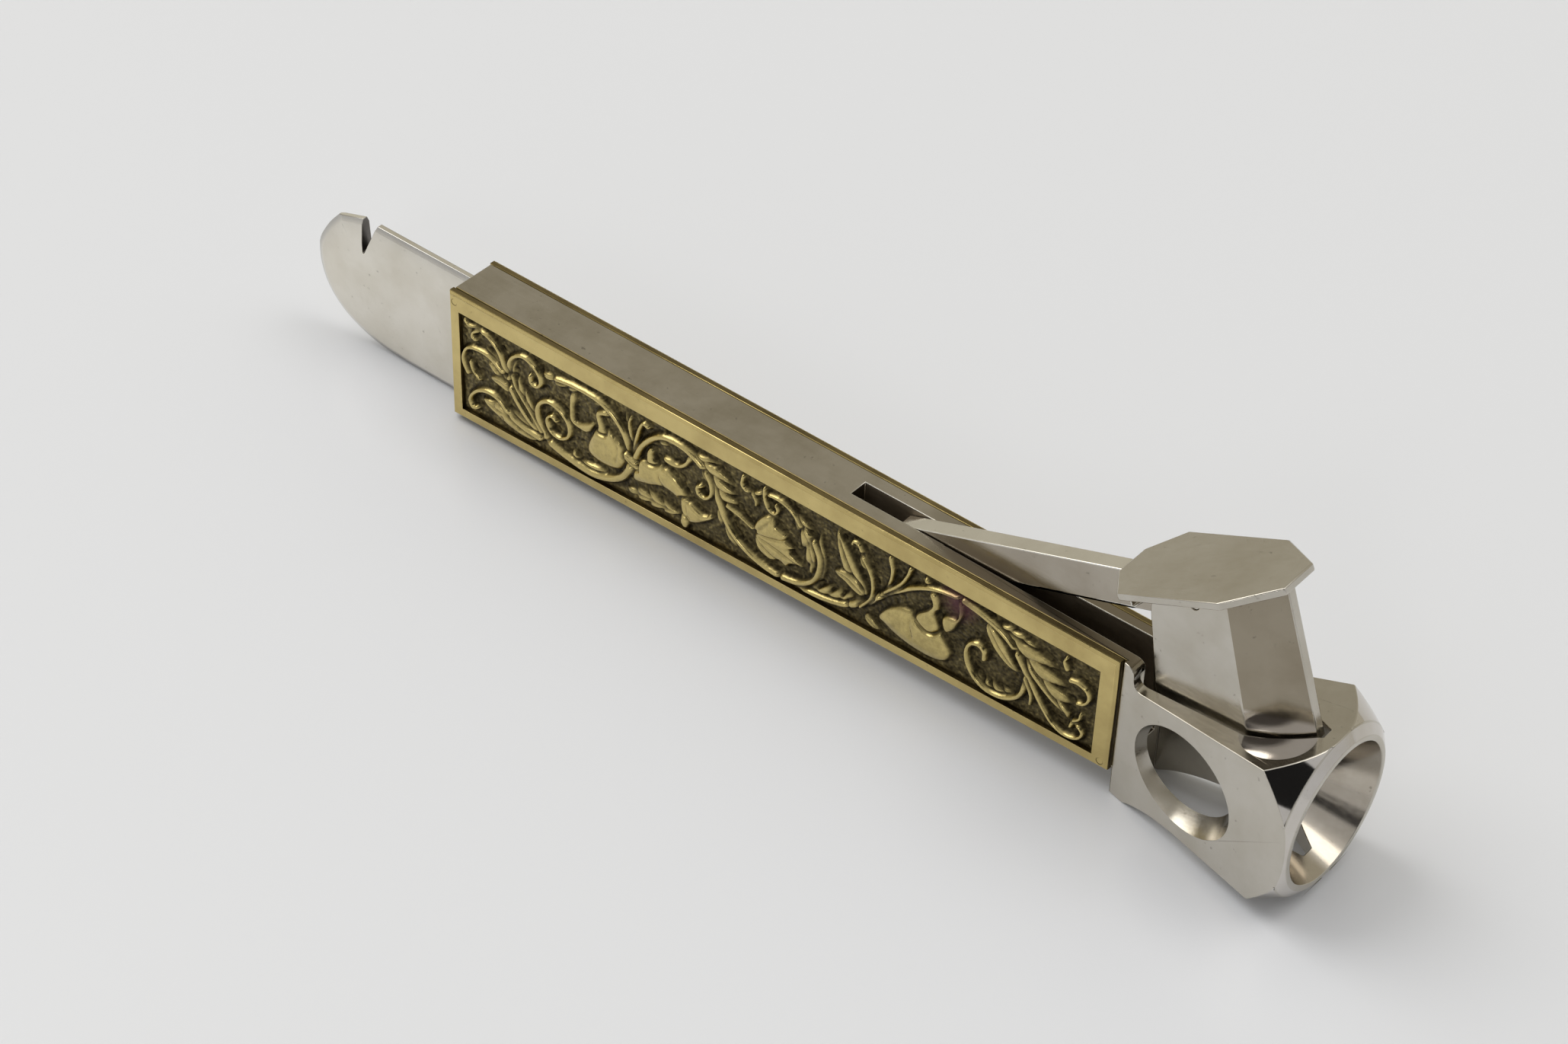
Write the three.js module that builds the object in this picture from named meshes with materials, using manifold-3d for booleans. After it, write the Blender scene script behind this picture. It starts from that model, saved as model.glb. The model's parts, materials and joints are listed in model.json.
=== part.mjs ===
import * as THREE from 'three';
import { mergeVertices } from 'three/addons/utils/BufferGeometryUtils.js';
import Module from 'manifold-3d';

// Pocket cigar cutter with a box-opener blade, a sprung thumb lever and two cutting openings.
// Millimetres. X runs from the opener to the bore mouth, Z is up, Y = 0 is the middle plane.

// Handle
const HANDLE_LENGTH = 96;
const HANDLE_HALF = 3;
const HANDLE_TOP = 18.88;
const BUTT_X = 0.2;
const BUTT_BOTTOM = 0.36;
const NECK_BOTTOM = 2.95;
const WALL_OVERRUN = 1.6;
const WALL_ROUND = 1.2;
const WALL_FILLET = 1.4;

// Ornament plates
const PLATE_THICKNESS = 1.1;
const PLATE_DROP = 0.04;
const PLATE_RAISE = 0.26;
const PLATE_BEVEL = 0.34;
const BORDER_TOP = 2.4;
const BORDER_BOTTOM = 1.4;
const BORDER_BUTT = 1.6;
const BORDER_NECK = 2.1;
const FIELD_DEPTH = 0.6;
const PLATE_PIN_RADIUS = 0.4;
const PLATE_PIN_INSET = 0.95;
const PLATE_PIN_GRIP = 1.2;

// Head
const NECK_GAP = 0.3;
const HEAD_LENGTH = 25.15;
const HEAD_HALF_NECK = 3.5;
const HEAD_FLARE = 0.239;
const HEAD_TOP_NECK = 15.94;
const HEAD_TOP_SLOPE = 0.2056;
const HEAD_BOTTOM = 1.8;
const HEEL_LAND = 2;
const ARCH_LENGTH = 10.7;
const ARCH_PULL = 5.2;

// Round bore that a cigar tip enters end on
const BORE_Z = 10.8;
const MOUTH_RADIUS = 8.4;
const THROAT_RADIUS = 4.4;
const RIM_WIDTH = 0.6;
const RIM_SLOPE = 1.4;
const CHAMFER_WIDTH = 1.28;
const CHAMFER_SLOPE = 0.617;

// Round hole across the head
const HOLE_FROM_NECK = 9.25;
const HOLE_Z = 9.65;
const HOLE_RIM_RADIUS = 6.5;
const HOLE_TAPER = 0.4;
const HOLE_STRETCH = 1.08;

// Kite-shaped slot that the blade drops through
const SLOT_BACK_HALF = 2.57;
const SLOT_SHOULDER_FROM_NECK = 15.4;
const SLOT_SHOULDER_HALF = 4.39;
const SLOT_APEX_FROM_NECK = 22.6;
const SLOT_APEX_HALF = 0.75;
const SCOOP_FROM_SHOULDER = 3.2;
const SCOOP_RADIUS = 4.05;
const SCOOP_DEPTH = 0.42;

// Slot along the handle that holds the lever
const LEVER_SLOT_LENGTH = 39.9;
const LEVER_SLOT_HALF = 1.26;
const WIDE_SLOT_LENGTH = 27;
const WIDE_SLOT_HALF = 1.72;
const SLOT_FLOOR = 6.5;

// Opener blade
const OPENER_HALF = 0.85;
const OPENER_TOP = 18.6;
const OPENER_LENGTH = 25.75;
const OPENER_BEVEL_WIDTH = 3.4;
const OPENER_EDGE_HALF = 0.2;
const OPENER_TOP_TRIM = 0.3;
const NOTCH_START = 15.3;
const NOTCH_WIDTH = 2.4;
const NOTCH_DEPTH = 4.9;
const TANG_LENGTH = 22;
const TANG_BOTTOM = 4.6;
const TANG_TOP = 15;
const TANG_PIN_RADIUS = 1.1;
const TANG_PIN_INSET = 6.3;

// Lever, in its pressed position
const PIVOT_BACK = 28.2;
const PIVOT_Z = 12.5;
const PIVOT_RADIUS = 1.25;
const LEVER_RAISE = 20;
const LEVER_HALF = 1.12;
const LEVER_TOP_DROP = 0.13;
const LEVER_BOSS = 3.5;
const LEVER_WAIST = 3.1;
const LEVER_FRONT_DEPTH = 4.6;
const LEVER_WAIST_FROM_PIVOT = 18.7;
const LEVER_SWEEP = 5;

// Thumb pad
const PAD_THICKNESS = 0.9;
const PAD_HALF = 6.45;
const PAD_BACK_HALF = 2.35;
const PAD_TIP_HALF = 2.55;
const PAD_BACK_CORNER = 2.9;
const PAD_TIP_CORNER = 5.6;
const PAD_LENGTH = 21.4;
const PAD_FROM_NECK = 1.4;
const PAD_BACK_RISE = 0.6;
const PAD_SLOPE = 0.0967;
const PAD_STUD_RADIUS = 0.6;
const PAD_STUD_GRIP = 2.4;

// Cutter blade, in its pressed position
const BLADE_BACK_RISE = 0.55;
const BLADE_BACK_LEAN = 1.7;
const BLADE_SIDE_LEAN = 0.025;
const BLADE_BACK_CORNER = 4.1;
const BLADE_BACK_CORNER_Z = 13.4;
const BLADE_BACK_BOTTOM = 3.6;
const BLADE_SHOULDER_BOTTOM = 1.7;
const BLADE_APEX_BOTTOM = 1.95;
const BLADE_APEX_HALF = 0.55;
const BLADE_RIVET_RADIUS = 0.6;
const BLADE_RIVET_DROP = 1.3;
const BLADE_RIVET_BACK = 5;
const BLADE_RIVET_STEP = 3.6;
const TENON_LENGTH = 10.3;

// Return spring
const SPRING_HALF = 0.95;
const SPRING_THICKNESS = 0.5;
const SPRING_BEND_FROM_PIVOT = -1;
const SPRING_TIP_FROM_PIVOT = 7.9;
const SPRING_RISE = 9;
const SPRING_PIN_RADIUS = 0.8;
const SPRING_PIN_FROM_END = 2.2;

// Clearances
const PIN_CLEARANCE = 0.05;
const PIVOT_CLEARANCE = 0.09;
const SEAT_GAP = 0.25;
const BLADE_SIDE_GAP = 0.5;
const BLADE_NOSE_GAP = 1.1;
const BLADE_WALL_GAP = 0.8;
const PIN_RECESS = 0.1;
const FACE_GAP = 0.04;

// Smoothness
const CURVE_STEPS = 12;
const ROUND_STEPS = 72;
const PIN_STEPS = 28;
const CUT = 30;
const OVERCUT = 0.5;

// Derived places
const NECK_X = HANDLE_LENGTH + NECK_GAP;
const WALL_END_X = NECK_X + WALL_OVERRUN;
const MOUTH_X = NECK_X + HEAD_LENGTH;
const HOLE_X = NECK_X + HOLE_FROM_NECK;
const SHOULDER_X = NECK_X + SLOT_SHOULDER_FROM_NECK;
const APEX_X = NECK_X + SLOT_APEX_FROM_NECK;
const SLOT_START_X = WALL_END_X - LEVER_SLOT_LENGTH;
const WIDE_START_X = WALL_END_X - WIDE_SLOT_LENGTH;
const PIVOT_X = HANDLE_LENGTH - PIVOT_BACK;
const PLATE_TOP = HANDLE_TOP - PLATE_DROP;
const PLATE_FACE_Y = HANDLE_HALF + PLATE_THICKNESS;
const LEVER_TOP = HANDLE_TOP - LEVER_TOP_DROP;
const PAD_BACK_X = NECK_X + PAD_FROM_NECK;
const BLADE_BACK_X = WALL_END_X + BLADE_WALL_GAP;
const BLADE_APEX_X = APEX_X - BLADE_NOSE_GAP;
const TENON_END_X = BLADE_BACK_X + TENON_LENGTH;

const headTop = (x) => HEAD_TOP_NECK + HEAD_TOP_SLOPE * (x - NECK_X);
const headHalf = (x) => HEAD_HALF_NECK + HEAD_FLARE * (x - NECK_X);
const handleBottom = (x) => BUTT_BOTTOM + (NECK_BOTTOM - BUTT_BOTTOM) * (x - BUTT_X) / (NECK_X - BUTT_X);
const padTop = (x) => LEVER_TOP + PAD_BACK_RISE + PAD_SLOPE * (x - PAD_BACK_X);
const padSeat = (x) => padTop(x) - PAD_THICKNESS - SEAT_GAP;
const slotFlare = (SLOT_SHOULDER_HALF - SLOT_BACK_HALF) / (SHOULDER_X - WALL_END_X);
const slotHalf = (x) => SLOT_BACK_HALF + slotFlare * (x - WALL_END_X);

const wasm = await Module();
wasm.setup();

// A closed solid from a three.js shape, ready to join or cut
function solid(geometry) {
  const bare = geometry.clone();
  bare.deleteAttribute('normal');
  bare.deleteAttribute('uv');
  const merged = mergeVertices(bare, 1e-4);
  const mesh = new wasm.Mesh({
    numProp: 3,
    vertProperties: new Float32Array(merged.attributes.position.array),
    triVerts: new Uint32Array(merged.index.array),
  });
  return new wasm.Manifold(mesh);
}

// A three.js mesh from a finished solid
function finish(name, body, material) {
  const mesh = body.getMesh();
  const geometry = new THREE.BufferGeometry();
  geometry.setAttribute('position', new THREE.BufferAttribute(new Float32Array(mesh.vertProperties), 3));
  geometry.setIndex(new THREE.BufferAttribute(new Uint32Array(mesh.triVerts), 1));
  geometry.computeVertexNormals();
  const result = new THREE.Mesh(geometry, material);
  result.name = name;
  return result;
}

const polygon = (points) => new THREE.Shape(points.map(([a, b]) => new THREE.Vector2(a, b)));

// A side outline (x, z) given width between two y planes
function sideSlab(shape, yLow, yHigh) {
  const options = { depth: yHigh - yLow, bevelEnabled: false, curveSegments: CURVE_STEPS };
  const geometry = new THREE.ExtrudeGeometry(shape, options);
  geometry.translate(0, 0, -yHigh);
  geometry.rotateX(Math.PI / 2);
  return solid(geometry);
}

// A plan outline (x, y) given height between two z planes
function planSlab(shape, zLow, zHigh) {
  const options = { depth: zHigh - zLow, bevelEnabled: false, curveSegments: CURVE_STEPS };
  const geometry = new THREE.ExtrudeGeometry(shape, options);
  geometry.translate(0, 0, zLow);
  return solid(geometry);
}

function block(x0, x1, y0, y1, z0, z1) {
  const geometry = new THREE.BoxGeometry(x1 - x0, y1 - y0, z1 - z0);
  geometry.translate((x0 + x1) / 2, (y0 + y1) / 2, (z0 + z1) / 2);
  return solid(geometry);
}

// A round pin or cone across the part, from y0 to y1
function crossPin(x, z, r0, r1, y0, y1, steps) {
  const geometry = new THREE.CylinderGeometry(r1, r0, y1 - y0, steps);
  geometry.translate(x, (y0 + y1) / 2, z);
  return solid(geometry);
}

// A cone about the bore axis, from x0 to x1
function boreCone(r0, r1, x0, x1) {
  const geometry = new THREE.CylinderGeometry(r1, r0, x1 - x0, ROUND_STEPS);
  geometry.rotateZ(-Math.PI / 2);
  geometry.translate((x0 + x1) / 2, 0, BORE_Z);
  return solid(geometry);
}

const nickel = new THREE.MeshStandardMaterial({ color: 0xb9b4a8, roughness: 0.35, metalness: 1 });
const blued = new THREE.MeshStandardMaterial({ color: 0x6d6a66, roughness: 0.4, metalness: 1 });
const brass = new THREE.MeshStandardMaterial({ color: 0xb8934a, roughness: 0.4, metalness: 1 });
const steel = new THREE.MeshStandardMaterial({ color: 0xc4c2bd, roughness: 0.3, metalness: 1 });

// Handle: a flat bar under the ornament plates
const handleOutline = polygon([
  [BUTT_X, BUTT_BOTTOM],
  [NECK_X + OVERCUT, handleBottom(NECK_X + OVERCUT)],
  [NECK_X + OVERCUT, HANDLE_TOP],
  [BUTT_X, HANDLE_TOP],
]);

// Head: a flared block with a heel below and the rounded wall ends above
function headOutline() {
  const outline = new THREE.Shape();
  outline.moveTo(NECK_X, 0);
  outline.lineTo(NECK_X + HEEL_LAND, 0);
  outline.quadraticCurveTo(NECK_X + ARCH_PULL, HEAD_BOTTOM, NECK_X + ARCH_LENGTH, HEAD_BOTTOM);
  outline.lineTo(MOUTH_X + OVERCUT, HEAD_BOTTOM);
  outline.lineTo(MOUTH_X + OVERCUT, headTop(MOUTH_X + OVERCUT));
  outline.lineTo(WALL_END_X + WALL_FILLET, headTop(WALL_END_X + WALL_FILLET));
  outline.quadraticCurveTo(WALL_END_X, headTop(WALL_END_X), WALL_END_X, headTop(WALL_END_X) + WALL_FILLET);
  outline.lineTo(WALL_END_X, HANDLE_TOP - WALL_ROUND);
  outline.quadraticCurveTo(WALL_END_X, HANDLE_TOP, WALL_END_X - WALL_ROUND, HANDLE_TOP);
  outline.lineTo(NECK_X, HANDLE_TOP);
  return outline;
}

const headPlan = polygon([
  [NECK_X, -headHalf(NECK_X)],
  [MOUTH_X + OVERCUT, -headHalf(MOUTH_X + OVERCUT)],
  [MOUTH_X + OVERCUT, headHalf(MOUTH_X + OVERCUT)],
  [NECK_X, headHalf(NECK_X)],
]);

// Oval hole through one cheek of the head, flaring outwards
function cheekHole(side) {
  const face = headHalf(HOLE_X);
  const reach = face + HOLE_RIM_RADIUS;
  const outer = HOLE_RIM_RADIUS + HOLE_TAPER * (reach - face);
  const inner = HOLE_RIM_RADIUS - HOLE_TAPER * face;
  const cone = new THREE.CylinderGeometry(outer, inner, reach, ROUND_STEPS);
  cone.scale(HOLE_STRETCH, 1, 1 / HOLE_STRETCH);
  cone.translate(0, reach / 2, 0);
  if (side < 0) cone.rotateX(Math.PI);
  cone.translate(HOLE_X, 0, HOLE_Z);
  return solid(cone);
}

// Shallow round scoop in the head's top, centred on the front flank of the slot
function flankScoop() {
  const slope = (SLOT_SHOULDER_HALF - SLOT_APEX_HALF) / (APEX_X - SHOULDER_X);
  const x = SHOULDER_X + SCOOP_FROM_SHOULDER;
  const y = SLOT_SHOULDER_HALF - slope * SCOOP_FROM_SHOULDER;
  const radius = (SCOOP_RADIUS ** 2 + SCOOP_DEPTH ** 2) / (2 * SCOOP_DEPTH);
  const ball = new THREE.SphereGeometry(radius, ROUND_STEPS, ROUND_STEPS);
  ball.rotateX(Math.PI / 2);
  ball.translate(0, 0, radius - SCOOP_DEPTH);
  ball.rotateY(-Math.atan(HEAD_TOP_SLOPE));
  ball.translate(x, -y, headTop(x));
  return solid(ball);
}

const slotPlan = polygon([
  [WALL_END_X, -SLOT_BACK_HALF],
  [SHOULDER_X, -SLOT_SHOULDER_HALF],
  [APEX_X, -SLOT_APEX_HALF],
  [APEX_X, SLOT_APEX_HALF],
  [SHOULDER_X, SLOT_SHOULDER_HALF],
  [WALL_END_X, SLOT_BACK_HALF],
]);

// Places of the cross pins: x, z and radius
const tangPinZ = (TANG_BOTTOM + TANG_TOP) / 2;
const tangPinNear = BUTT_X + TANG_PIN_INSET;
const tangPinFar = BUTT_X + TANG_LENGTH - TANG_PIN_INSET;
const springFloor = SLOT_FLOOR + FACE_GAP;
const springStartX = SLOT_START_X + OVERCUT;
const springPinX = springStartX + SPRING_PIN_FROM_END;
const springPinZ = springFloor + SPRING_THICKNESS + FACE_GAP + SPRING_PIN_RADIUS;
const plateBottom = (x) => handleBottom(x) + PLATE_RAISE;
const crossPins = [
  ['opener_rivet_near', tangPinNear, tangPinZ, TANG_PIN_RADIUS],
  ['opener_rivet_far', tangPinFar, tangPinZ, TANG_PIN_RADIUS],
  ['pivot_pin', PIVOT_X, PIVOT_Z, PIVOT_RADIUS],
  ['spring_pin', springPinX, springPinZ, SPRING_PIN_RADIUS],
];
const platePins = [
  ['butt', PLATE_PIN_INSET, PLATE_TOP - BORDER_TOP / 2],
  ['neck', HANDLE_LENGTH - PLATE_PIN_INSET, plateBottom(HANDLE_LENGTH) + PLATE_PIN_INSET],
];

function buildBody() {
  const coneLength = MOUTH_X - BUTT_X + CUT;
  const rim = MOUTH_RADIUS + RIM_WIDTH;
  const edge = MOUTH_RADIUS + CHAMFER_WIDTH;
  const coneStart = MOUTH_X - coneLength;
  const rimCone = boreCone(rim + RIM_SLOPE * coneLength, rim, coneStart, MOUTH_X);
  const chamferCone = boreCone(edge + CHAMFER_SLOPE * coneLength, edge, coneStart, MOUTH_X);
  const handle = sideSlab(handleOutline, -HANDLE_HALF, HANDLE_HALF);
  const head = sideSlab(headOutline(), -CUT, CUT)
    .intersect(planSlab(headPlan, -OVERCUT, CUT))
    .intersect(rimCone)
    .intersect(chamferCone);
  const taper = (MOUTH_RADIUS - THROAT_RADIUS) / (MOUTH_X - SHOULDER_X);
  let body = handle.add(head);
  const beyond = MOUTH_RADIUS + taper * OVERCUT;
  body = body.subtract(boreCone(THROAT_RADIUS, beyond, SHOULDER_X, MOUTH_X + OVERCUT));
  body = body.subtract(cheekHole(-1)).subtract(cheekHole(1));
  body = body.subtract(planSlab(slotPlan, -OVERCUT, CUT));
  body = body.subtract(flankScoop());
  const slotEnd = WALL_END_X + OVERCUT;
  body = body.subtract(block(SLOT_START_X, slotEnd, -LEVER_SLOT_HALF, LEVER_SLOT_HALF, SLOT_FLOOR, CUT));
  body = body.subtract(block(WIDE_START_X, slotEnd, -WIDE_SLOT_HALF, WIDE_SLOT_HALF, SLOT_FLOOR, CUT));
  const mortise = OPENER_HALF + FACE_GAP;
  body = body.subtract(block(BUTT_X - OVERCUT, BUTT_X + TANG_LENGTH + FACE_GAP, -mortise, mortise,
    TANG_BOTTOM - FACE_GAP, TANG_TOP + FACE_GAP));
  for (const [, x, z, radius] of crossPins) {
    const hole = radius + PIN_CLEARANCE;
    body = body.subtract(crossPin(x, z, hole, hole, -CUT, CUT, PIN_STEPS));
  }
  const pinFloor = HANDLE_HALF - PLATE_PIN_GRIP - FACE_GAP;
  const pinHole = PLATE_PIN_RADIUS + PIN_CLEARANCE;
  for (const [, x, z] of platePins) {
    body = body.subtract(crossPin(x, z, pinHole, pinHole, -CUT, -pinFloor, PIN_STEPS));
    body = body.subtract(crossPin(x, z, pinHole, pinHole, pinFloor, CUT, PIN_STEPS));
  }
  return body;
}

// Ornament plates: bevelled edges, a raised border and a sunk field
function buildPlates() {
  const outline = polygon([
    [0, plateBottom(0)],
    [HANDLE_LENGTH, plateBottom(HANDLE_LENGTH)],
    [HANDLE_LENGTH, PLATE_TOP],
    [0, PLATE_TOP],
  ]);
  const pair = new THREE.ExtrudeGeometry(outline, {
    depth: 2 * (PLATE_FACE_Y - PLATE_BEVEL),
    bevelEnabled: true,
    bevelThickness: PLATE_BEVEL,
    bevelSize: PLATE_BEVEL,
    bevelOffset: -PLATE_BEVEL,
    bevelSegments: 1,
  });
  pair.translate(0, 0, PLATE_BEVEL - PLATE_FACE_Y);
  pair.rotateX(Math.PI / 2);
  const fieldRight = HANDLE_LENGTH - BORDER_NECK;
  const field = polygon([
    [BORDER_BUTT, plateBottom(BORDER_BUTT) + BORDER_BOTTOM],
    [fieldRight, plateBottom(fieldRight) + BORDER_BOTTOM],
    [fieldRight, PLATE_TOP - BORDER_TOP],
    [BORDER_BUTT, PLATE_TOP - BORDER_TOP],
  ]);
  const ground = PLATE_FACE_Y - FIELD_DEPTH;
  let plates = solid(pair).subtract(sideSlab(field, -CUT, -ground)).subtract(sideSlab(field, ground, CUT));
  const hole = PLATE_PIN_RADIUS + PIN_CLEARANCE;
  for (const [, x, z] of platePins) {
    plates = plates.subtract(crossPin(x, z, hole, hole, -CUT, CUT, PIN_STEPS));
  }
  const back = HANDLE_HALF + FACE_GAP;
  const reach = HANDLE_LENGTH + CUT;
  return {
    front: plates.intersect(block(-CUT, reach, -CUT, -back, -CUT, CUT)),
    rear: plates.intersect(block(-CUT, reach, back, CUT, -CUT, CUT)),
  };
}

// Opener: a wedge-edged plate with a nail notch and a tang let into the handle
function buildOpener() {
  const along = (part) => BUTT_X - part * OPENER_LENGTH;
  const up = (part) => part * OPENER_TOP;
  const curve = [
    [0.838, 0.933], [0.937, 0.785], [1.003, 0.586], [0.97, 0.325], [0.85, 0.137], [0.651, 0.028], [0.434, 0],
  ].map(([a, b]) => new THREE.Vector2(along(a), up(b)));
  const spare = 2 * OPENER_BEVEL_WIDTH;
  const lipX = BUTT_X - NOTCH_START;
  const hookX = lipX - NOTCH_WIDTH;
  const outline = new THREE.Shape();
  outline.moveTo(BUTT_X + spare, OPENER_TOP + OPENER_TOP_TRIM);
  outline.lineTo(hookX, OPENER_TOP + OPENER_TOP_TRIM);
  outline.lineTo(curve[0].x, curve[0].y + OPENER_TOP_TRIM);
  outline.splineThru(curve.slice(1));
  outline.lineTo(BUTT_X + spare, 0);
  const wedge = new THREE.ExtrudeGeometry(outline, {
    depth: 2 * OPENER_EDGE_HALF,
    bevelEnabled: true,
    bevelThickness: OPENER_HALF - OPENER_EDGE_HALF,
    bevelSize: OPENER_BEVEL_WIDTH,
    bevelOffset: -OPENER_BEVEL_WIDTH,
    bevelSegments: 2,
    curveSegments: 4,
  });
  wedge.translate(0, 0, -OPENER_EDGE_HALF);
  wedge.rotateX(Math.PI / 2);
  const notch = polygon([
    [lipX, OPENER_TOP + OVERCUT],
    [lipX, OPENER_TOP],
    [lipX - 0.33 * NOTCH_WIDTH, OPENER_TOP - 0.38 * NOTCH_DEPTH],
    [hookX + 0.1 * NOTCH_WIDTH, OPENER_TOP - NOTCH_DEPTH],
    [hookX, OPENER_TOP - 0.96 * NOTCH_DEPTH],
    [hookX, OPENER_TOP + OVERCUT],
  ]);
  const slope = (curve[0].y - OPENER_TOP) / (curve[0].x - hookX);
  const noseTop = polygon([
    [hookX, OPENER_TOP],
    [hookX, OPENER_TOP + CUT],
    [hookX - CUT, OPENER_TOP + CUT],
    [hookX - CUT, OPENER_TOP - slope * CUT],
  ]);
  const tangEnd = BUTT_X + TANG_LENGTH;
  const tang = block(BUTT_X - 2 * OVERCUT, tangEnd, -OPENER_HALF, OPENER_HALF, TANG_BOTTOM, TANG_TOP);
  let opener = solid(wedge)
    .intersect(block(BUTT_X - OPENER_LENGTH, BUTT_X - FACE_GAP, -CUT, CUT, 0, OPENER_TOP))
    .subtract(sideSlab(noseTop, -CUT, CUT))
    .subtract(sideSlab(notch, -CUT, CUT))
    .add(tang);
  const hole = TANG_PIN_RADIUS + PIN_CLEARANCE;
  for (const x of [tangPinNear, tangPinFar]) {
    opener = opener.subtract(crossPin(x, tangPinZ, hole, hole, -CUT, CUT, PIN_STEPS));
  }
  return opener;
}

// Leaf spring: flat along the slot floor, then swept up under the lever
function buildSpring() {
  const bendX = PIVOT_X + SPRING_BEND_FROM_PIVOT;
  const tipX = PIVOT_X + SPRING_TIP_FROM_PIVOT;
  const tipZ = springFloor + SPRING_RISE;
  const pull = 0.69 * (tipX - bendX);
  const inner = springFloor + SPRING_THICKNESS;
  const outline = new THREE.Shape();
  outline.moveTo(springStartX, springFloor);
  outline.lineTo(bendX, springFloor);
  outline.quadraticCurveTo(bendX + pull, springFloor, tipX, tipZ);
  outline.lineTo(tipX - SPRING_THICKNESS, tipZ + 0.2 * SPRING_THICKNESS);
  outline.quadraticCurveTo(bendX + pull - SPRING_THICKNESS, inner, bendX, inner);
  outline.lineTo(springStartX, inner);
  return sideSlab(outline, -SPRING_HALF, SPRING_HALF);
}

// Lever: a round boss on the pivot, a slim arm and a deeper front that the blade is riveted to
function buildLever() {
  const bottom = LEVER_TOP - LEVER_FRONT_DEPTH;
  const waistX = PIVOT_X + LEVER_WAIST_FROM_PIVOT;
  const start = -Math.PI / 4.5;
  const bossX = PIVOT_X + LEVER_BOSS * Math.cos(start);
  const bossZ = PIVOT_Z + LEVER_BOSS * Math.sin(start);
  const waistZ = LEVER_TOP - LEVER_WAIST;
  const outline = new THREE.Shape();
  outline.moveTo(PIVOT_X - 0.35 * LEVER_BOSS, LEVER_TOP);
  outline.quadraticCurveTo(PIVOT_X - LEVER_BOSS, PIVOT_Z + 1.3 * LEVER_BOSS, PIVOT_X - LEVER_BOSS, PIVOT_Z);
  outline.absarc(PIVOT_X, PIVOT_Z, LEVER_BOSS, Math.PI, 2 * Math.PI + start, false);
  const rise = waistZ - bottom;
  const sweep = LEVER_SWEEP;
  outline.bezierCurveTo(bossX + sweep, bossZ + sweep, waistX - sweep, waistZ + rise, waistX, waistZ);
  outline.quadraticCurveTo(waistX + sweep, bottom, WALL_END_X, bottom);
  outline.lineTo(TENON_END_X, bottom);
  outline.lineTo(TENON_END_X, padSeat(TENON_END_X));
  outline.lineTo(PAD_BACK_X - SEAT_GAP, padSeat(PAD_BACK_X - SEAT_GAP));
  outline.lineTo(PAD_BACK_X - SEAT_GAP, LEVER_TOP);
  const bore = PIVOT_RADIUS + PIVOT_CLEARANCE;
  let lever = sideSlab(outline, -LEVER_HALF, LEVER_HALF)
    .subtract(crossPin(PIVOT_X, PIVOT_Z, bore, bore, -CUT, CUT, PIN_STEPS));
  for (const [, x, z] of bladeRivets) lever = lever.subtract(rivetHole(x, z));
  return lever.subtract(studPin(PIN_CLEARANCE));
}

// Flush rivets through the blade and the lever's front end
const rivetZ = LEVER_TOP - BLADE_RIVET_DROP;
const bladeRivets = [
  ['blade_rivet_back', BLADE_BACK_X + BLADE_RIVET_BACK, rivetZ],
  ['blade_rivet_front', BLADE_BACK_X + BLADE_RIVET_BACK + BLADE_RIVET_STEP, rivetZ],
];
function rivetHole(x, z) {
  const hole = BLADE_RIVET_RADIUS + PIN_CLEARANCE;
  return crossPin(x, z, hole, hole, -CUT, CUT, PIN_STEPS);
}
const bladeHalf = (x) => slotHalf(x) - BLADE_SIDE_GAP;

// Hidden stud between the lever and the thumb pad
function studPin(extra) {
  const x = BLADE_BACK_X + BLADE_RIVET_BACK + BLADE_RIVET_STEP / 2;
  const top = padTop(x) - PAD_THICKNESS / 2;
  const radius = PAD_STUD_RADIUS + extra;
  const height = PAD_STUD_GRIP + 2 * extra;
  const geometry = new THREE.CylinderGeometry(radius, radius, height, PIN_STEPS);
  geometry.rotateX(Math.PI / 2);
  geometry.translate(x, 0, top - PAD_STUD_GRIP / 2);
  return solid(geometry);
}

// Thumb pad: a thin plate with eight corners, tipped up towards the front
function buildPad() {
  const tip = PAD_LENGTH;
  const front = PAD_LENGTH - PAD_TIP_CORNER;
  const plan = polygon([
    [0, -PAD_BACK_HALF],
    [PAD_BACK_CORNER, -PAD_HALF],
    [front, -PAD_HALF],
    [tip, -PAD_TIP_HALF],
    [tip, PAD_TIP_HALF],
    [front, PAD_HALF],
    [PAD_BACK_CORNER, PAD_HALF],
    [0, PAD_BACK_HALF],
  ]);
  const geometry = new THREE.ExtrudeGeometry(plan, { depth: PAD_THICKNESS, bevelEnabled: false });
  geometry.translate(0, 0, -PAD_THICKNESS);
  geometry.rotateY(-Math.atan(PAD_SLOPE));
  geometry.translate(PAD_BACK_X, 0, padTop(PAD_BACK_X));
  return solid(geometry).subtract(studPin(PIN_CLEARANCE));
}

// Waste beside the blade, leaving a face that flares forwards and leans in towards the top
function bladeWaste(side) {
  const waste = new THREE.BoxGeometry(2 * CUT, CUT, 2 * CUT);
  waste.translate(SHOULDER_X, side * CUT / 2, LEVER_TOP);
  const place = waste.attributes.position;
  for (let i = 0; i < place.count; i += 1) {
    const lean = BLADE_SIDE_LEAN * (place.getZ(i) - BLADE_APEX_BOTTOM);
    place.setY(i, place.getY(i) + side * (bladeHalf(place.getX(i)) - lean));
  }
  return solid(waste);
}

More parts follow.
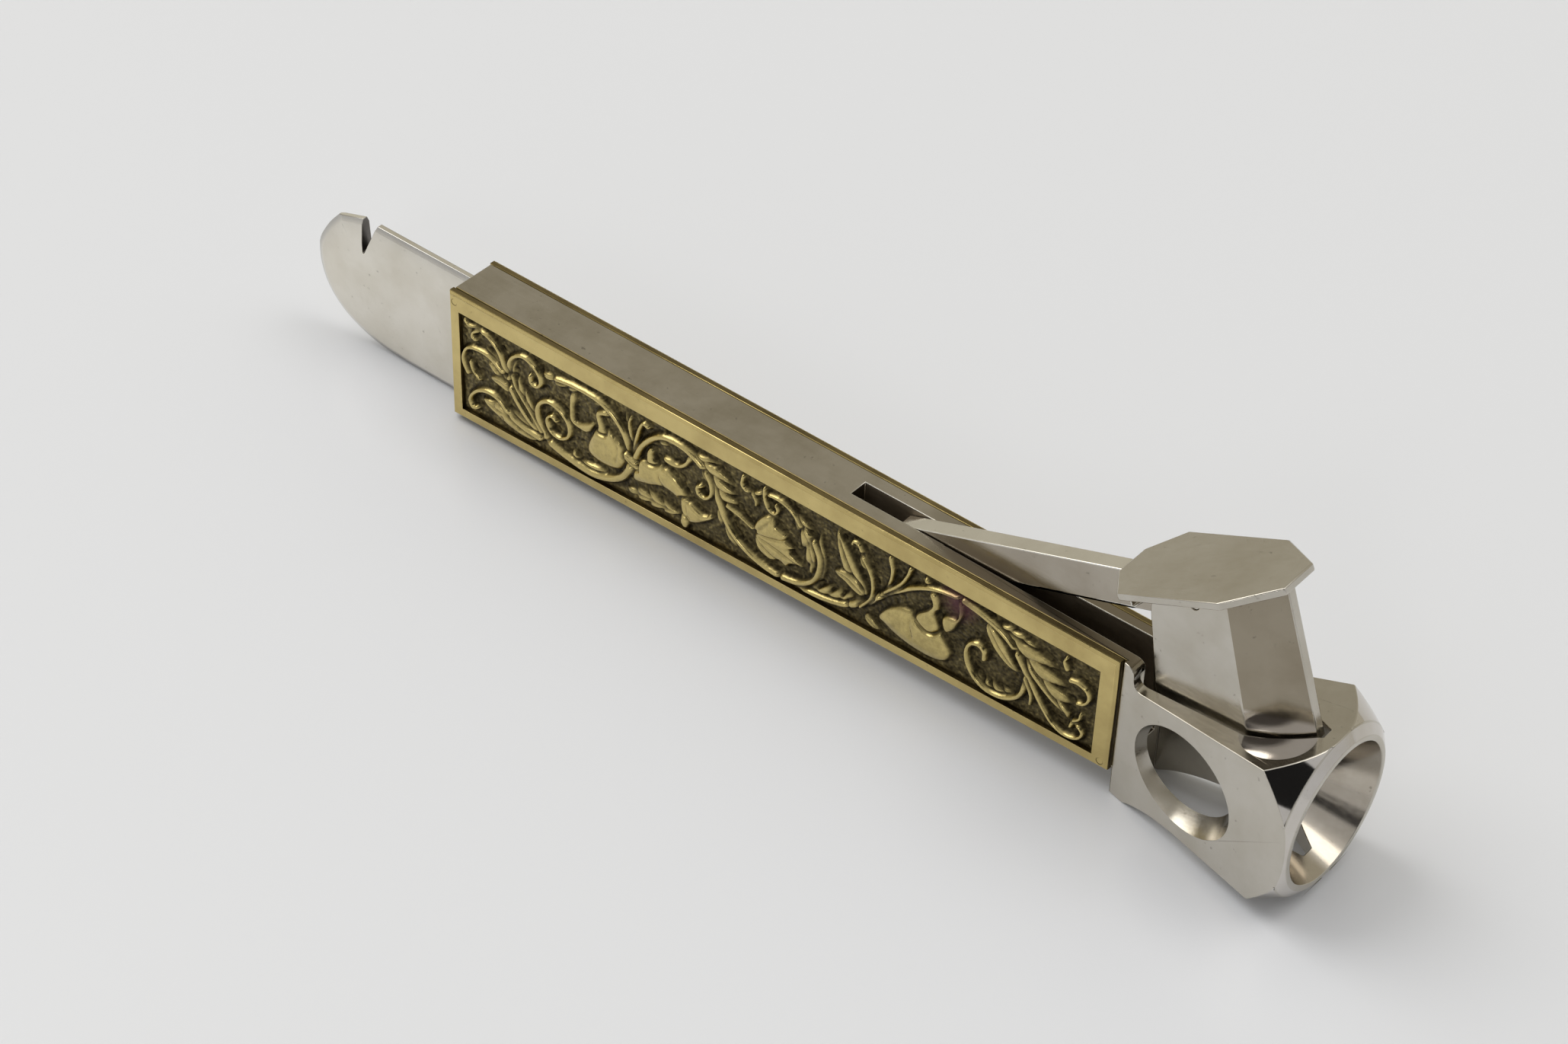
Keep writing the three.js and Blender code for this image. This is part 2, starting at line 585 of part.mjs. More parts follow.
// Cutter blade: a kite-shaped block with a V nose, slotted for the lever
function buildBlade() {
  const corner = BLADE_BACK_X + BLADE_BACK_LEAN;
  const topX = corner + BLADE_BACK_CORNER;
  const shoulderX = SHOULDER_X - BLADE_SIDE_GAP;
  const outline = new THREE.Shape();
  outline.moveTo(BLADE_BACK_X, BLADE_BACK_BOTTOM);
  outline.lineTo(shoulderX, BLADE_SHOULDER_BOTTOM);
  outline.lineTo(BLADE_APEX_X, BLADE_APEX_BOTTOM);
  outline.lineTo(BLADE_APEX_X, padSeat(BLADE_APEX_X));
  outline.lineTo(topX, padSeat(topX));
  outline.quadraticCurveTo(corner + BLADE_BACK_RISE, padSeat(corner), corner, BLADE_BACK_CORNER_Z);
  const plan = polygon([
    [BLADE_BACK_X - OVERCUT, -bladeHalf(BLADE_BACK_X - OVERCUT)],
    [shoulderX, -bladeHalf(shoulderX)],
    [BLADE_APEX_X, -BLADE_APEX_HALF],
    [BLADE_APEX_X, BLADE_APEX_HALF],
    [shoulderX, bladeHalf(shoulderX)],
    [BLADE_BACK_X - OVERCUT, bladeHalf(BLADE_BACK_X - OVERCUT)],
  ]);
  const seat = LEVER_HALF + SEAT_GAP;
  const seatFloor = LEVER_TOP - LEVER_FRONT_DEPTH - SEAT_GAP;
  let blade = sideSlab(outline, -CUT, CUT)
    .intersect(planSlab(plan, -CUT, CUT))
    .subtract(bladeWaste(-1))
    .subtract(bladeWaste(1))
    .subtract(block(BLADE_BACK_X - OVERCUT, TENON_END_X + SEAT_GAP, -seat, seat, seatFloor, CUT));
  for (const [, x, z] of bladeRivets) blade = blade.subtract(rivetHole(x, z));
  return blade;
}

const root = new THREE.Group();
root.name = 'cigar_cutter';
root.position.x = -(MOUTH_X + BUTT_X - OPENER_LENGTH) / 2;

root.add(finish('body', buildBody(), nickel));
root.add(finish('opener_blade', buildOpener(), steel));
const plates = buildPlates();
root.add(finish('front_plate', plates.front, brass));
root.add(finish('rear_plate', plates.rear, brass));
for (const [name, x, z, radius] of crossPins) {
  const reach = HANDLE_HALF - PIN_RECESS;
  root.add(finish(name, crossPin(x, z, radius, radius, -reach, reach, PIN_STEPS), steel));
}
for (const [place, x, z] of platePins) {
  const outer = PLATE_FACE_Y - FACE_GAP;
  const inner = HANDLE_HALF - PLATE_PIN_GRIP;
  const radius = PLATE_PIN_RADIUS;
  const frontPin = crossPin(x, z, radius, radius, -outer, -inner, PIN_STEPS);
  const rearPin = crossPin(x, z, radius, radius, inner, outer, PIN_STEPS);
  root.add(finish(`front_plate_pin_${place}`, frontPin, brass));
  root.add(finish(`rear_plate_pin_${place}`, rearPin, brass));
}
root.add(finish('return_spring', buildSpring(), blued));

const lever = new THREE.Group();
lever.name = 'lever';
lever.position.set(PIVOT_X, 0, PIVOT_Z);
lever.rotation.y = THREE.MathUtils.degToRad(-LEVER_RAISE);
const leverPieces = [
  finish('lever_arm', buildLever(), nickel),
  finish('thumb_pad', buildPad(), nickel),
  finish('pad_stud', studPin(0), steel),
  finish('cutter_blade', buildBlade(), steel),
];
for (const [name, x, z] of bladeRivets) {
  const reach = bladeHalf(x) - BLADE_SIDE_LEAN * LEVER_TOP - PIN_RECESS;
  const radius = BLADE_RIVET_RADIUS;
  leverPieces.push(finish(name, crossPin(x, z, radius, radius, -reach, reach, PIN_STEPS), steel));
}
for (const piece of leverPieces) {
  piece.geometry.translate(-PIVOT_X, 0, -PIVOT_Z);
  lever.add(piece);
}
root.add(lever);

export default root;
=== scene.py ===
import json
import math
import bpy
import bmesh
import numpy as np
from mathutils import Matrix, Vector


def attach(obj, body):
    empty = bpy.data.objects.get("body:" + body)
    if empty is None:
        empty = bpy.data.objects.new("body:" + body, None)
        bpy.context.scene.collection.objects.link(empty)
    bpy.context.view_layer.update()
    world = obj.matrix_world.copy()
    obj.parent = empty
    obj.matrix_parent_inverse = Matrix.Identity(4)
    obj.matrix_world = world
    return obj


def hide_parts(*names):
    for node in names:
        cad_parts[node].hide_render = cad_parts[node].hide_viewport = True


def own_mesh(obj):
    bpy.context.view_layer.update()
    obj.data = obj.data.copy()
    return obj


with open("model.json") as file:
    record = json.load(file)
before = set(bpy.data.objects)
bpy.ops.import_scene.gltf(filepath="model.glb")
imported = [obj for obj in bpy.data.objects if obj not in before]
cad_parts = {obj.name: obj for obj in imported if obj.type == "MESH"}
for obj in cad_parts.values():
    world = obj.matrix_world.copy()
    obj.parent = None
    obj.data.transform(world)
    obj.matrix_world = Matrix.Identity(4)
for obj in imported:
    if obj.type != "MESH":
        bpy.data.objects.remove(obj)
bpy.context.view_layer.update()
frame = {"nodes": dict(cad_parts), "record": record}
nodes = frame["nodes"]
scene = bpy.context.scene
MM = 0.001

# Ornament field on each plate, in the part's own millimetres (x from the plate's butt end)
PART_X = -47.95
FIELD_X = (1.6, 93.9)
FIELD_TOP = 16.44
FIELD_LOW = (2.06, 4.55)
GROUND_Y = 3.5
BACK_DEPTH = 0.05
GRID = 0.12
RELIEF_SCALE = 1.6

# Noises: scale, detail and roughness
HAIR_NOISE = (4.0, 6.0, 0.7)
STAIN_NOISE = (130.0, 6.0, 0.62)
FLECK_NOISE = (1500.0, 2.0, 0.5)
GRIT_NOISE = (3000.0, 4.0, 0.65)
PATCH_NOISE = (700.0, 3.0, 0.6)

# Polishing lines run along x; pits are darker than stains; depths are in metres
HAIR_STRETCH = (60.0, 700.0, 700.0)
HAIR_DEPTH = 0.00004
GRIT_DEPTH = 0.00003
PIT_SHADE = 0.45
PIT_SHARE = 0.55


# Node material helpers
def new_material(name):
    material = bpy.data.materials.new(name)
    material.use_nodes = True
    tree = material.node_tree
    return material, tree, tree.nodes["Principled BSDF"]


def add(tree, kind, **inputs):
    node = tree.nodes.new(kind)
    for key, value in inputs.items():
        node.inputs[key.replace("_", " ")].default_value = value
    return node


def ramp_node(tree, stops):
    node = tree.nodes.new("ShaderNodeValToRGB")
    ramp = node.color_ramp
    while len(ramp.elements) < len(stops):
        ramp.elements.new(0.5)
    for element, (place, colour) in zip(ramp.elements, stops):
        element.position = place
        element.color = (*colour, 1.0)
    return node


def noise(tree, vector, scale, detail, rough):
    node = add(tree, "ShaderNodeTexNoise", Scale=scale, Detail=detail, Roughness=rough)
    tree.links.new(vector, node.inputs["Vector"])
    return node.outputs["Fac"]


# Worn plated metal: warm stains, small pits and fine polishing lines
def metal(name, colour, stain, rough, spread, grain):
    material, tree, shader = new_material(name)
    link = tree.links.new
    shader.inputs["Metallic"].default_value = 1.0
    place = add(tree, "ShaderNodeTexCoord").outputs["Object"]
    stretch = add(tree, "ShaderNodeMapping", Scale=HAIR_STRETCH)
    link(place, stretch.inputs["Vector"])
    hair = noise(tree, stretch.outputs["Vector"], *HAIR_NOISE)
    cloud = noise(tree, place, *STAIN_NOISE)
    tone = ramp_node(tree, [(0.3, stain), (0.62, colour)])
    link(cloud, tone.inputs["Fac"])
    fleck = noise(tree, place, *FLECK_NOISE)
    pit = add(tree, "ShaderNodeMapRange", From_Min=0.7, From_Max=0.78, To_Min=0.0, To_Max=PIT_SHARE)
    link(fleck, pit.inputs["Value"])
    speck = tree.nodes.new("ShaderNodeMix")
    speck.data_type = "RGBA"
    link(pit.outputs["Result"], speck.inputs["Factor"])
    link(tone.outputs["Color"], speck.inputs["A"])
    speck.inputs["B"].default_value = (*[PIT_SHADE * c for c in stain], 1.0)
    link(speck.outputs["Result"], shader.inputs["Base Color"])
    level = add(tree, "ShaderNodeMapRange", From_Min=0.3, From_Max=0.7)
    level.inputs["To Min"].default_value = rough - spread
    level.inputs["To Max"].default_value = rough + spread
    link(hair, level.inputs["Value"])
    link(level.outputs["Result"], shader.inputs["Roughness"])
    bump = add(tree, "ShaderNodeBump", Strength=grain, Distance=HAIR_DEPTH)
    link(hair, bump.inputs["Height"])
    link(bump.outputs["Normal"], shader.inputs["Normal"])
    return material


# Finishes: colour, colour of the stains, roughness and its spread, strength of the polishing lines
NICKEL = metal("satin nickel", (0.55, 0.52, 0.46), (0.47, 0.435, 0.365), 0.2, 0.04, 0.1)
# Lighter nickel is a painted highlight on the lever's top
LIT_NICKEL = metal("nickel painted lit", (0.76, 0.735, 0.67), (0.66, 0.63, 0.56), 0.2, 0.04, 0.1)
POLISHED = metal("polished nickel", (0.64, 0.61, 0.57), (0.56, 0.52, 0.46), 0.07, 0.02, 0.03)
# The bore is darkened: painted shade for its dark inner reflections, with a stain
BORE_STAIN_AND_SHADE = metal("bore stain and painted shade", (0.52, 0.475, 0.41), (0.4, 0.355, 0.285), 0.17, 0.03, 0.05)
# Darker nickel is painted shade on the lever's sides
SHADED_NICKEL = metal("nickel painted in shade", (0.44, 0.4, 0.335), (0.35, 0.31, 0.25), 0.22, 0.05, 0.12)
# Near-white steel is a painted highlight on the opener's top faces
HIGHLIGHT_STEEL = metal("steel painted with a highlight", (0.88, 0.86, 0.81), (0.8, 0.77, 0.7), 0.18, 0.04, 0.1)
STEEL = metal("satin steel", (0.74, 0.70, 0.62), (0.64, 0.6, 0.51), 0.2, 0.05, 0.12)
BRASS = metal("gilt brass", (0.65, 0.52, 0.22), (0.47, 0.36, 0.145), 0.22, 0.05, 0.12)
# Grimed brass is also painted shade on faces and edges in the gaps beside the plates
GRIME_AND_SHADE = metal("grimed brass and painted shade", (0.22, 0.17, 0.075), (0.11, 0.085, 0.038), 0.34, 0.06, 0.25)
SOILED = metal("soiled slot", (0.36, 0.3, 0.22), (0.26, 0.21, 0.15), 0.55, 0.08, 0.2)
# Dark steel is the spring's own colour, and painted shade inside the opener's notch
DARK_STEEL_AND_SHADE = metal("dark spring steel and painted shade", (0.16, 0.15, 0.14), (0.1, 0.09, 0.08), 0.35, 0.05, 0.2)


# Grade a metal along one axis of the part, in metres, to another colour and roughness past the end
def grade(material, axis, start, end, colour, rough, both_sides=False):
    tree = material.node_tree
    shader = tree.nodes["Principled BSDF"]
    link = tree.links.new
    split = tree.nodes.new("ShaderNodeSeparateXYZ")
    link(add(tree, "ShaderNodeTexCoord").outputs["Object"], split.inputs["Vector"])
    share = add(tree, "ShaderNodeMapRange", From_Min=start, From_Max=end)
    share.interpolation_type = "SMOOTHSTEP"
    far = tree.nodes.new("ShaderNodeMath")
    far.operation = "ABSOLUTE" if both_sides else "ADD"
    far.inputs[1].default_value = 0.0
    link(split.outputs[axis], far.inputs[0])
    link(far.outputs["Value"], share.inputs["Value"])
    for name, kind, value in (("Base Color", "RGBA", (*colour, 1.0)), ("Roughness", "FLOAT", rough)):
        node = tree.nodes.new("ShaderNodeMix")
        node.data_type = kind
        link(share.outputs["Result"], node.inputs["Factor"])
        link(shader.inputs[name].links[0].from_socket, node.inputs["A"])
        node.inputs["B"].default_value = value
        link(node.outputs["Result"], shader.inputs[name])
    return material


# The nose of the blade is painted dark and dull above, a painted dark reflection, and rubbed bright where it
# enters the slot
DARK_PAINTED_FLANK = grade(metal("flank painted dark above", (0.29, 0.255, 0.195), (0.24, 0.205, 0.15), 0.16, 0.03, 0.06),
              "Z", 0.0218, 0.021, (0.62, 0.58, 0.53), 0.07)
# The opener is painted greyer towards its thin rim, a painted shade
OPENER = grade(metal("opener steel", (0.76, 0.725, 0.645), (0.66, 0.62, 0.53), 0.2, 0.05, 0.12),
               "Y", 0.00082, 0.00022, (0.46, 0.445, 0.42), 0.22, both_sides=True)
# The top of the handle is worn, and grows darker and rougher beside the lever, towards the head
AGED = grade(metal("aged nickel", (0.5, 0.465, 0.4), (0.38, 0.345, 0.275), 0.22, 0.05, 0.14),
             "X", 0.017, 0.027, (0.24, 0.205, 0.15), 0.3)
SLOT_MATERIAL = {"nickel": NICKEL, "steel": STEEL, "brass": BRASS, "spring_steel": DARK_STEEL_AND_SHADE}
SLOTS = {part["node"]: part["material_slot"] for part in frame["record"]["subparts"]}
for name, slot in SLOTS.items():
    nodes[name].data.materials.clear()
    nodes[name].data.materials.append(SLOT_MATERIAL[slot])

# Head features in the part's millimetres, for the finish and the exact curve of each face
SHOULDER_X = 111.7
BORE_Z = 10.8
BORE_TAPER = 0.41
RIM_SLOPE = 1.4
CHAMFER_SLOPE = 0.617
HOLE_X = 105.55
HOLE_Z = 9.65
HOLE_TAPER = 0.4
HOLE_STRETCH = 1.08
HOLE_REACH = 8
HEAD_TOP_NORMAL = Vector((-0.2014, 0.0, 0.9795))
SCOOP_CENTRE = Vector((111.01, -2.773, 38.69))
SCOOP_RADIUS = 19.74
SCOOP_MARGIN = 0.05
NOTCH_X = (-17.7, -15.0)

# Where the head and the bore begin along x, and where the handle's walls and edges end
HEAD_START_X = HOLE_X - 8
BORE_START_X = SHOULDER_X - 1
WALLS_END_X = HOLE_X - 10
EDGES_END_X = HOLE_X - 9
# The middle of the handle's wall, between the slot and the outside
WALL_MIDDLE_Y = 2.5

# How well a face's normal agrees with a curve, with the head's top and with an axis
ON_CURVE = 0.998
ON_HEAD_TOP = 0.99999
FACING = 0.9
HALF_FACING = 0.5
BLADE_NOSE_FACING = 0.3
LEVER_TOP_FACING = 0.7


def from_bore(p):
    return Vector((0.0, p.y, p.z - BORE_Z)).normalized()


def bore_normal(p):
    return Vector((BORE_TAPER, 0.0, 0.0)) - from_bore(p)


def rim_normal(p):
    return Vector((RIM_SLOPE, 0.0, 0.0)) + from_bore(p)


def chamfer_normal(p):
    return Vector((CHAMFER_SLOPE, 0.0, 0.0)) + from_bore(p)


def hole_normal(p):
    x, z = p.x - HOLE_X, p.z - HOLE_Z
    far = math.hypot(x / HOLE_STRETCH, z * HOLE_STRETCH)
    lean = math.copysign(HOLE_TAPER, p.y)
    return Vector((-x / HOLE_STRETCH ** 2 / far, lean, -z * HOLE_STRETCH ** 2 / far))


def scoop_normal(p):
    return SCOOP_CENTRE - p


HEAD_CURVES = [bore_normal, rim_normal, chamfer_normal, hole_normal, scoop_normal]


# The curve that a face of the head lies on, or None where it is flat
def head_curve(c, n):
    if c.x < HEAD_START_X:
        return None
    for curve in HEAD_CURVES:
        near = curve(c).normalized().dot(n) > ON_CURVE
        if curve is scoop_normal:
            near = near and n.dot(HEAD_TOP_NORMAL) < ON_HEAD_TOP
            near = near and (SCOOP_CENTRE - c).length < SCOOP_RADIUS + SCOOP_MARGIN
        if curve is hole_normal:
            near = near and math.hypot(c.x - HOLE_X, c.z - HOLE_Z) < HOLE_REACH
        if curve is bore_normal:
            near = near and c.x > BORE_START_X
        if near:
            return curve
    return None


# The finish of a face, from its centre, its normal and the curve that it lies on
def body_finish(c, n, curve):
    # The bore's darker colour is painted shade with a stain
    if curve is bore_normal:
        return BORE_STAIN_AND_SHADE
    if curve in (rim_normal, chamfer_normal, scoop_normal):
        return POLISHED
    if curve is None and c.x < HEAD_START_X:
        if n.z > FACING:
            return AGED
        # The handle's outer walls by the plates are painted dark, painted shade with grime; the slot's walls
        # are soiled
        if abs(n.y) > FACING and c.x < WALLS_END_X:
            return GRIME_AND_SHADE if abs(c.y) > WALL_MIDDLE_Y else SOILED
    return NICKEL


# The handle's long edges beside the plates are painted dark: painted shade in the gap by the plates, with
# dirt
def body_edge_finish(c, finish):
    return GRIME_AND_SHADE if c.x < EDGES_END_X and abs(c.y) > WALL_MIDDLE_Y else finish


# The nose flanks take the painted dark reflection above the slot
def blade_finish(c, n, curve):
    return DARK_PAINTED_FLANK if n.x > BLADE_NOSE_FACING and abs(n.y) > HALF_FACING else NICKEL


# The opener's notch is painted dark inside, a painted shade, and its top edge is painted bright, a painted
# highlight
def opener_finish(c, n, curve):
    if abs(n.y) < HALF_FACING and NOTCH_X[0] < c.x < NOTCH_X[1] and n.z < FACING:
        return DARK_STEEL_AND_SHADE
    return HIGHLIGHT_STEEL if n.z > FACING else OPENER


# The lever's top is painted lighter and its sides darker: a painted highlight and painted shade
def lever_finish(c, n, curve):
    return LIT_NICKEL if n.z > LEVER_TOP_FACING else SHADED_NICKEL


# The plates' edges are painted dark: painted shade beside the frame, with grime
def plate_finish(c, n, curve):
    return BRASS if n.y < -HALF_FACING or n.y > FACING else GRIME_AND_SHADE


# The lever slot widens evenly towards the head, so the step in its walls is drawn out into a taper
SLOT_X = (70.9, 97.9)
SLOT_HALF = (1.26, 1.72)
SLOT_FLOOR = 6.5
NEAR = 0.02


def straight_slot(p):
    in_slot = SLOT_X[0] - NEAR < p.x < SLOT_X[1] + NEAR and p.z > SLOT_FLOOR - NEAR
    if in_slot and abs(abs(p.y) - SLOT_HALF[1]) < NEAR:
        half = np.interp(p.x, SLOT_X, SLOT_HALF)
        return Vector((p.x, math.copysign(half, p.y), p.z))
    return p


# The raised lever's arm is of even depth: its underside is brought down to one line, measured from the pivot
PIVOT = (67.8, 12.5)
RAISED = math.radians(20)
ARM_REACH = (6.0, 30.1)
ARM_TOP = 6.25
ARM_DEPTH = 4.5


def even_arm(p):
    x = p.x - PIVOT[0]
    z = p.z - PIVOT[1]
    along = x * math.cos(RAISED) + z * math.sin(RAISED)
    up = z * math.cos(RAISED) - x * math.sin(RAISED)
    low = ARM_TOP - ARM_DEPTH
    if not (ARM_REACH[0] < along < ARM_REACH[1] and low < up < ARM_TOP - NEAR):
        return p
    x = along * math.cos(RAISED) - low * math.sin(RAISED)
    z = along * math.sin(RAISED) + low * math.cos(RAISED)
    return Vector((PIVOT[0] + x, p.y, PIVOT[1] + z))


def in_part(p):
    return Vector((p.x / MM - PART_X, p.y / MM, p.z / MM))


def in_frame(p):
    return Vector(((p.x + PART_X) * MM, p.y * MM, p.z * MM))


# Vertices closer than this are one, and triangles lower than this are slivers of a larger face
MERGE = 0.03 * MM
SLIVER = 0.08 * MM
# Edges sharper than this are rounded, and faces whose normals agree this well are shaded as one
SHARP = math.radians(20)
SAME_FACE = 0.9
SAME_PLANE = 0.985
ROUND_STEPS = 2


# A face's own normal, or for a sliver that of the largest face beside it
def flat_normal(face):
    if 2 * face.calc_area() >= SLIVER * max(edge.calc_length() for edge in face.edges):
        return face.normal
    big = max((f for edge in face.edges for f in edge.link_faces), key=lambda f: f.calc_area())
    return big.normal if big.normal.dot(face.normal) > SAME_FACE else face.normal


# A normal for each corner: exact on curves, shared within a plane, turning over the rounded edges
def corner_normals(bm, rounds, kind, flat):
    def exact(face, vert):
        if face[kind]:
            return HEAD_CURVES[face[kind] - 1](in_part(vert.co)).normalized()
        return face[flat].normalized()

    plain = {}
    for face in bm.faces:
        if face not in rounds:
            for loop in face.loops:
                plain.setdefault(loop.vert, []).append(exact(face, loop.vert))
    normals = []
    for face in bm.faces:
        for loop in face.loops:
            if face in rounds:
                normal = sum(plain.get(loop.vert, [loop.vert.normal]), Vector())
            elif face[kind]:
                normal = exact(face, loop.vert)
            else:
                normal = sum((n for n in plain[loop.vert] if n.dot(face[flat]) > SAME_PLANE), Vector())
            normals.append(normal.normalized())
    return normals


# A finished copy of a rigid piece: its edges broken by a small round, curved faces shaded as true curves
def rounded_copy(node, body, width, finishes, choose=None, curve_of=None, shortest=0.0, edge_finish=None,
                 reshape=None):
    bm = bmesh.new()
    bm.from_mesh(nodes[node].data)
    if reshape:
        for vert in bm.verts:
            vert.co = in_frame(reshape(in_part(vert.co)))
    bmesh.ops.remove_doubles(bm, verts=bm.verts, dist=MERGE)
    bm.normal_update()
    kind = bm.faces.layers.int.new("curve")
    flat = bm.faces.layers.float_vector.new("flat")
    for face in bm.faces:
        c = in_part(face.calc_center_median())
        curve = curve_of(c, face.normal) if curve_of else None
        face[kind] = HEAD_CURVES.index(curve) + 1 if curve else 0
        face[flat] = flat_normal(face)
        face.material_index = finishes.index(choose(c, face.normal, curve)) if choose else 0
    crisp = HEAD_CURVES.index(hole_normal) + 1
    sharp = [edge for edge in bm.edges if edge.is_manifold and edge.calc_face_angle(0.0) > SHARP
             and edge.calc_length() > shortest and all(face[kind] != crisp for face in edge.link_faces)]
    made = bmesh.ops.bevel(bm, geom=sharp, offset=width, segments=ROUND_STEPS, profile=0.5, affect="EDGES",
                           clamp_overlap=False)
    rounds = set(made["faces"])
    if edge_finish:
        for face in rounds:
            c = in_part(face.calc_center_median())
            face.material_index = finishes.index(edge_finish(c, finishes[face.material_index]))
    normals = corner_normals(bm, rounds, kind, flat)
    mesh = bpy.data.meshes.new(node + "_finished")
    bm.to_mesh(mesh)
    bm.free()
    for finish in finishes:
        mesh.materials.append(finish)
    mesh.polygons.foreach_set("use_smooth", np.ones(len(mesh.polygons), bool))
    mesh.normals_split_custom_set(normals)
    piece = bpy.data.objects.new(node + "_finished", mesh)
    scene.collection.objects.link(piece)
    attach(piece, body)
    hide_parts(node)
    return piece


BODY_FINISHES = [NICKEL, POLISHED, BORE_STAIN_AND_SHADE, AGED, GRIME_AND_SHADE, SOILED]
rounded_copy("body", "frame", 0.12 * MM, BODY_FINISHES, body_finish, head_curve,
             edge_finish=body_edge_finish, reshape=straight_slot)
rounded_copy("opener_blade", "frame", 0.08 * MM, [OPENER, DARK_STEEL_AND_SHADE, HIGHLIGHT_STEEL], opener_finish)
rounded_copy("front_plate", "frame", 0.08 * MM, [BRASS, GRIME_AND_SHADE], plate_finish, shortest=MM)
rounded_copy("rear_plate", "frame", 0.08 * MM, [BRASS, GRIME_AND_SHADE], plate_finish, shortest=MM)
rounded_copy("lever_arm", "lever", 0.14 * MM, [LIT_NICKEL, SHADED_NICKEL], lever_finish, reshape=even_arm)
rounded_copy("thumb_pad", "lever", 0.2 * MM, [NICKEL])
rounded_copy("cutter_blade", "lever", 0.14 * MM, [NICKEL, DARK_PAINTED_FLANK], blade_finish)

# The leaf spring's finished copy, with a mesh of its own
spring = rounded_copy("return_spring", "frame", 0.05 * MM, [DARK_STEEL_AND_SHADE])
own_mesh(spring)

# Relief material: dark patina in the ground, bright brass where hands rub, painted shade under the forms, a
# purple tarnish in one place
TARNISH_PLACE = ((75.2 + PART_X) * MM, -4.0 * MM, 14.6 * MM)
TARNISH_REACH = (0.0008, 0.003)
TARNISH_SHARE = 0.85
TARNISH_COLOUR = (0.11, 0.045, 0.055, 1.0)
GRIT_SHARE = 0.35
PATINA = [
    (0.2, (0.03, 0.023, 0.011)),
    (0.45, (0.105, 0.083, 0.037)),
    (0.7, (0.3, 0.24, 0.097)),
    (1.0, (0.61, 0.49, 0.2)),
]


def relief_material():
    material, tree, shader = new_material("chased brass")
    link = tree.links.new
    shader.inputs["Metallic"].default_value = 1.0
    place = add(tree, "ShaderNodeTexCoord").outputs["Object"]
    wear_and_shade = tree.nodes.new("ShaderNodeAttribute")
    wear_and_shade.attribute_name = "wear_and_shade"
    grit = noise(tree, place, *GRIT_NOISE)
    cloud = add(tree, "ShaderNodeMapRange", From_Min=0.3, From_Max=0.7, To_Min=-0.1, To_Max=0.06)
    link(noise(tree, place, *PATCH_NOISE), cloud.inputs["Value"])
    patchy = tree.nodes.new("ShaderNodeMath")
    link(cloud.outputs["Result"], patchy.inputs[0])
    link(wear_and_shade.outputs["Fac"], patchy.inputs[1])
    mixed = tree.nodes.new("ShaderNodeMath")
    mixed.operation = "MULTIPLY_ADD"
    link(grit, mixed.inputs[0])
    mixed.inputs[1].default_value = GRIT_SHARE
    link(patchy.outputs["Value"], mixed.inputs[2])
    tone = ramp_node(tree, PATINA)
    link(mixed.outputs["Value"], tone.inputs["Fac"])
    spread = add(tree, "ShaderNodeVectorMath")
    spread.operation = "DISTANCE"
    link(place, spread.inputs[0])
    spread.inputs[1].default_value = TARNISH_PLACE
    near = add(tree, "ShaderNodeMapRange", To_Min=0.0, To_Max=TARNISH_SHARE)
    near.inputs["From Min"].default_value = TARNISH_REACH[1]
    near.inputs["From Max"].default_value = TARNISH_REACH[0]
    link(spread.outputs["Value"], near.inputs["Value"])
    purple = tree.nodes.new("ShaderNodeMix")
    purple.data_type = "RGBA"
    link(near.outputs["Result"], purple.inputs["Factor"])
    link(tone.outputs["Color"], purple.inputs["A"])
    purple.inputs["B"].default_value = TARNISH_COLOUR
    link(purple.outputs["Result"], shader.inputs["Base Color"])
    level = add(tree, "ShaderNodeMapRange", From_Min=0.2, From_Max=0.9, To_Min=0.5, To_Max=0.2)
    link(mixed.outputs["Value"], level.inputs["Value"])
    link(level.outputs["Result"], shader.inputs["Roughness"])
    bump = add(tree, "ShaderNodeBump", Strength=0.3, Distance=GRIT_DEPTH)
    link(grit, bump.inputs["Height"])
    link(bump.outputs["Normal"], shader.inputs["Normal"])
    return material


RELIEF = relief_material()

